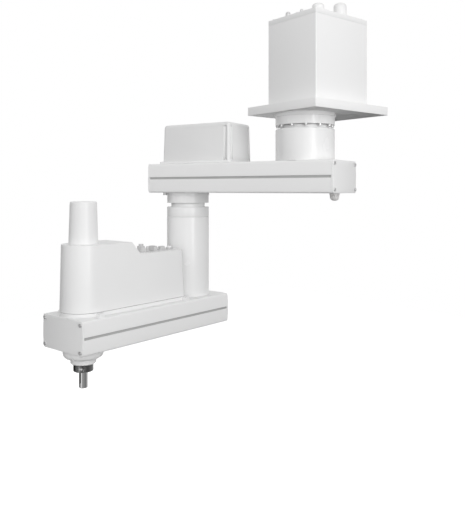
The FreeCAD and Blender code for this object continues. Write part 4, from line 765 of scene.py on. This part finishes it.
def make_forearm():
    low, high = span("second_cap_ring", 2)
    outline = [(56.0, low), (56.0, low + 0.9), (57.3, low + 0.9), (57.3, high - 10.5),
               (46.0, high - 10.5), (46.0, high)]
    cap = turned("cap_ring_turned", outline)
    bore(cap, 22.0)
    soften(cap, 0.6, 3, 50.0)
    finish_piece(cap, "elbow", "forearm", ["second_cap_ring"], "white_cast")
    column = turned("second_column_turned", [(57.5, span("second_column", 2)[0]), (57.5, low)])
    bore(column, 47.5)
    soften(column, 0.6)
    finish_piece(column, "elbow", "forearm", ["second_column"], "white_cast")
    beam_low = span("forearm_beam", 2)[0]
    above = beam_low + BEAM_TALL + PAST
    outline = [(30.0, beam_low - PAST), (30.0, above)]
    ways = [turned("quill_way", outline, (LINK_LENGTH, 0.0)),
            rough_block("belt_way", (130.0, 345.0), (-36.0, 36.0), (beam_low + 60.0, above))]
    ends = (-78.0, 404.0)
    make_beam("forearm_beam_extrusion", *ends, beam_low, "elbow", "forearm", "forearm_beam", ways)
    make_end_plates("forearm_beam_ends", *ends, beam_low, "elbow", "forearm", "forearm_end_plates")
    make_forearm_cover()
    low, high = span("screw_sleeve", 2)
    outline = [(34.0, low), (33.97, low + 1.0)] + arc((26.9, high - 4.1), 4.1, 2.0, 90.0, 7)
    sleeve = turned("sleeve_moulding", outline)
    carve(sleeve, [turned("sleeve_room", [(30.0, low - PAST), (28.0, high - 3.0)])])
    finish_piece(sleeve, "quill", "forearm", ["screw_sleeve"], "white_cover")
    make_quill_end(beam_low)


def make_quill_end(beam_low):
    """Domed housing, seal ring and shaft under the forearm."""
    seal_low, low = span("quill_seal_ring", 2)
    flange = beam_low - 6.0
    outline = [(31.0, low), (36.5, low + 0.6), (40.5, low + 2.0), (43.6, low + 4.4),
               (45.6, low + 7.6), (46.6, low + 11.0), (47.0, low + 14.0), (47.0, flange),
               (48.5, flange), (48.5, beam_low)]
    dome = turned("quill_dome", outline)
    places = spots(4, 42.0, 20.0)
    outline = [(4.0, low - PAST), (4.0, flange)]
    carve(dome, copied(turned("screw_well", outline, places[0], 32), places))
    bore(dome, 26.0)
    soften(dome, 0.5, 2, 40.0)
    # The dome takes the lighter copy of the cast paint, painted light on its downward faces
    finish_piece(dome, "quill", "forearm", ["quill_housing"], "white_cast", "dome_cast_painted_light")
    heads = copied(socket_head("dome_screw", places[0], flange + 0.1, 3.5, 4.1), places)
    finish_piece(join_pieces(heads), "quill", "forearm", [], "bright_screw")
    outline = [(17.4, seal_low), (27.5, seal_low), (29.5, seal_low + 2.0), (29.5, low),
               (17.4, low)]
    seal = turned("seal_ring_turned", outline)
    bore(seal, 17.4)
    soften(seal, 0.5, 3, 25.0)
    finish_piece(seal, "quill", "forearm", ["quill_seal_ring"], "white_cast")
    make_shaft()


def make_shaft():
    """Chromed shaft: hollow end, a ground flat and two running grooves above the collar."""
    low, high = span("quill_shaft", 2)
    outline = [(5.0, low + 12.0), (5.0, low), (8.5, low), (10.0, low + 1.5),
               (10.0, high - 1.5), (8.5, high)]
    shaft = turned("quill_shaft_ground", outline, (0.0, 0.0), 128)
    flat = rough_block("flat_cutter", (8.6, 12.0), (-11.0, 11.0), (low + 12.0, low + 37.0))
    take(flat)
    flat.rotation_euler = (0.0, 0.0, math.radians(-12.0))
    bpy.ops.object.transform_apply(location=True, rotation=True, scale=True)
    places = spots(2, 10.5, 100.0)
    outline = [(1.3, low + 40.0), (1.3, high + PAST)]
    grooves = copied(turned("groove", outline, places[0], 24), places)
    carve(shaft, [flat] + grooves)
    finish_piece(shaft, "quill", "quill", ["quill_shaft"], "chrome_shaft")


def make_forearm_cover():
    """Moulded cover: round nose, drafted sides and a low step behind."""
    low, high = span("forearm_cover", 2)
    step = high - STEP_DROP
    rear, half, draft = -282.0, 54.0, 50.5 / 54.0
    shell = rough_block("forearm_shell", (rear, half), (-half, half), (low + 0.5, high))
    round_upright_edges(shell, half - 0.01, 24, lambda p: p.x > 0)
    round_upright_edges(shell, 7.0, 6, lambda p: p.x < -270.0)
    open_mesh(shell, "VERT")
    choose_points(shell, lambda p: abs(p.z - high) < 0.01 and p.x > -0.5)
    bpy.ops.transform.resize(value=(draft, draft, 1.0), center_override=(0.0, 0.0, high * MM))
    choose_points(shell, lambda p: abs(p.z - high) < 0.01 and p.x < -200.0)
    bpy.ops.transform.resize(value=(1.0, draft, 1.0), center_override=(0.0, 0.0, high * MM))
    bpy.ops.transform.translate(value=(6.0 * MM, 0.0, 0.0))
    close_mesh()
    tidy_normals(shell)
    wedge = rough_block("step_wedge", (-320.0, -105.0), (-80.0, 80.0), (step, high + 20.0))
    open_mesh(wedge, "VERT")
    choose_points(wedge, lambda p: p.x > -200.0 and p.z < step + 0.01)
    bpy.ops.transform.translate(value=(-26.5 * MM, 0.0, 0.0))
    choose_points(wedge, lambda p: p.x > -200.0 and p.z > step + 1.0)
    bpy.ops.transform.translate(value=(17.7 * MM, 0.0, 0.0))
    close_mesh()
    inner = half - 7.0
    hollow = rough_block("cover_room", (rear + 14.0, inner), (-inner, inner),
                         (low - PAST, step - 5.0))
    round_upright_edges(hollow, inner - 0.5, 20, lambda p: p.x > 0)
    tidy_normals(hollow)
    way = turned("shaft_way", [(28.0, step - 10.0), (28.0, high + PAST)])
    tall_room = rough_block("nose_room", (-95.0, 10.0), (-38.0, 38.0), (step - 8.0, high - 4.0))
    carve(shell, [wedge])
    soften(shell, 4.5, 6, 40.0)
    carve(shell, [hollow, way, tall_room], "FAST")
    finish_piece(shell, "quill", "forearm", ["forearm_cover"], "white_cover")


# Floor, world and lamps
# Each band: its direction, the cosines where it starts and is full, the level before and there
ROOM_BANDS = (
    ((0.63, 0.776, 0.0), -0.35, 0.45, 0.74, 0.30, "MULTIPLY"),
    ((0.39, -0.92, 0.0), 0.80, 0.95, 1.0, 0.08, "MULTIPLY"),
    ((-0.80, 0.60, 0.0), 0.50, 0.90, 1.0, 0.55, "MULTIPLY"),
    ((0.97, 0.22, 0.0), 0.93, 0.99, 0.0, 0.55, "ADD"),
)


def add_room(nodes, links, vector):
    """Studio as the shiny parts see it: dimmer on one side, dark flags and one bright strip."""
    level = None
    for toward, low, high, before, after, way in ROOM_BANDS:
        match = nodes.new("ShaderNodeVectorMath")
        match.operation = "DOT_PRODUCT"
        match.inputs[1].default_value = toward
        step = nodes.new("ShaderNodeMapRange")
        step.inputs["From Min"].default_value = low
        step.inputs["From Max"].default_value = high
        step.inputs["To Min"].default_value = before
        step.inputs["To Max"].default_value = after
        links.new(vector, match.inputs[0])
        links.new(match.outputs["Value"], step.inputs["Value"])
        if level is None:
            level = step.outputs["Result"]
            continue
        change = nodes.new("ShaderNodeMath")
        change.operation = way
        links.new(level, change.inputs[0])
        links.new(step.outputs["Result"], change.inputs[1])
        level = change.outputs["Value"]
    return level


def join_by_ray(nodes, links, soft, mirrored, direct, output):
    """Camera and transmission rays see direct, glossy rays mirrored and all others soft."""
    rays = nodes.new("ShaderNodeLightPath")
    seen = nodes.new("ShaderNodeMath")
    seen.operation = "MAXIMUM"
    shiny = nodes.new("ShaderNodeMixShader")
    mix = nodes.new("ShaderNodeMixShader")
    links.new(rays.outputs["Is Camera Ray"], seen.inputs[0])
    links.new(rays.outputs["Is Transmission Ray"], seen.inputs[1])
    links.new(rays.outputs["Is Glossy Ray"], shiny.inputs["Fac"])
    links.new(soft, shiny.inputs[1])
    links.new(mirrored, shiny.inputs[2])
    links.new(seen.outputs["Value"], mix.inputs["Fac"])
    links.new(shiny.outputs["Shader"], mix.inputs[1])
    links.new(direct, mix.inputs[2])
    links.new(mix.outputs["Shader"], output.inputs["Surface"])


def make_floor():
    clear_selection()
    bpy.ops.mesh.primitive_plane_add(size=14.0, location=(0.2, -0.2, FLOOR_HEIGHT))
    floor = name_piece("studio_floor")
    take(floor)
    bpy.ops.object.transform_apply(location=True, rotation=True, scale=True)
    material = bpy.data.materials.new("pale_floor")
    material.use_nodes = True
    nodes, links = material.node_tree.nodes, material.node_tree.links
    nodes.clear()
    output = nodes.new("ShaderNodeOutputMaterial")
    matt = nodes.new("ShaderNodeBsdfDiffuse")
    matt.inputs["Color"].default_value = grey(0.10)
    pale = nodes.new("ShaderNodeBsdfDiffuse")
    pale.inputs["Color"].default_value = grey(0.80)
    glow = nodes.new("ShaderNodeEmission")
    glow.inputs["Color"].default_value = grey(1.0)
    glow.inputs["Strength"].default_value = 0.60
    both = nodes.new("ShaderNodeAddShader")
    place = nodes.new("ShaderNodeTexCoord")
    away = nodes.new("ShaderNodeVectorMath")
    away.operation = "SUBTRACT"
    away.inputs[1].default_value = (0.50, -0.27, FLOOR_HEIGHT)
    level = nodes.new("ShaderNodeVectorMath")
    level.operation = "NORMALIZE"
    mirrored = nodes.new("ShaderNodeEmission")
    links.new(place.outputs["Object"], away.inputs[0])
    links.new(away.outputs["Vector"], level.inputs[0])
    links.new(add_room(nodes, links, level.outputs["Vector"]), mirrored.inputs["Strength"])
    links.new(pale.outputs["BSDF"], both.inputs[0])
    links.new(glow.outputs["Emission"], both.inputs[1])
    join_by_ray(nodes, links, matt.outputs["BSDF"], mirrored.outputs["Emission"],
                both.outputs["Shader"], output)
    floor.data.materials.append(material)


def make_world():
    world = bpy.data.worlds.new("studio_white")
    bpy.context.scene.world = world
    world.use_nodes = True
    nodes, links = world.node_tree.nodes, world.node_tree.links
    nodes.clear()
    output = nodes.new("ShaderNodeOutputWorld")
    direction = nodes.new("ShaderNodeTexCoord")
    parts = nodes.new("ShaderNodeSeparateXYZ")
    sky = nodes.new("ShaderNodeMapRange")
    sky.inputs["To Min"].default_value = 0.88
    sky.inputs["To Max"].default_value = 0.58
    ambient, room, white = [nodes.new("ShaderNodeBackground") for _ in range(3)]
    for background in (ambient, room, white):
        background.inputs["Color"].default_value = grey(1.0)
        background.inputs["Strength"].default_value = 1.0
    links.new(direction.outputs["Generated"], parts.inputs["Vector"])
    links.new(parts.outputs["Z"], sky.inputs["Value"])
    links.new(sky.outputs["Result"], ambient.inputs["Strength"])
    links.new(add_room(nodes, links, direction.outputs["Generated"]), room.inputs["Strength"])
    join_by_ray(nodes, links, ambient.outputs["Background"], room.outputs["Background"],
                white.outputs["Background"], output)


def add_sun(name, toward, strength, angle, reflected):
    """Very soft sun that shines from a direction."""
    data = bpy.data.lights.new(name, "SUN")
    data.energy = strength
    data.angle = math.radians(angle)
    lamp = bpy.data.objects.new(name, data)
    bpy.context.collection.objects.link(lamp)
    azimuth = math.atan2(toward[1], toward[0])
    level = math.hypot(toward[0], toward[1])
    lamp.rotation_euler = (0.0, math.atan2(level, toward[2]), azimuth)
    lamp.visible_glossy = reflected


def add_panel(name, place, target, size, watts, reflected):
    """Soft panel aimed at a place, not seen by the camera itself."""
    data = bpy.data.lights.new(name, "AREA")
    data.shape = "RECTANGLE"
    data.size = size[0]
    data.size_y = size[1]
    data.energy = watts
    lamp = bpy.data.objects.new(name, data)
    bpy.context.collection.objects.link(lamp)
    lamp.location = place
    back = [place[axis] - target[axis] for axis in range(3)]
    azimuth = math.atan2(back[1], back[0])
    lamp.rotation_euler = (0.0, math.atan2(math.hypot(back[0], back[1]), back[2]), azimuth)
    lamp.visible_camera = False
    lamp.visible_glossy = reflected


place_camera()
dress_frame()
make_base()
make_upper_arm()
make_forearm()
make_floor()
make_world()
add_sun("front_fill", (0.45, 0.89, -0.08), 1.00, 60.0, True)
add_sun("back_fill", (-0.55, -0.80, 0.15), 0.70, 60.0, False)
add_panel("key_panel", (0.45, 1.35, 0.10), (0.30, -0.20, -0.25), (1.4, 0.35), 5.8, True)
add_panel("low_panel", (0.95, 0.35, -0.95), (0.50, -0.27, -0.58), (0.6, 0.6), 0.55, False)
bpy.context.scene.view_settings.view_transform = "Standard"
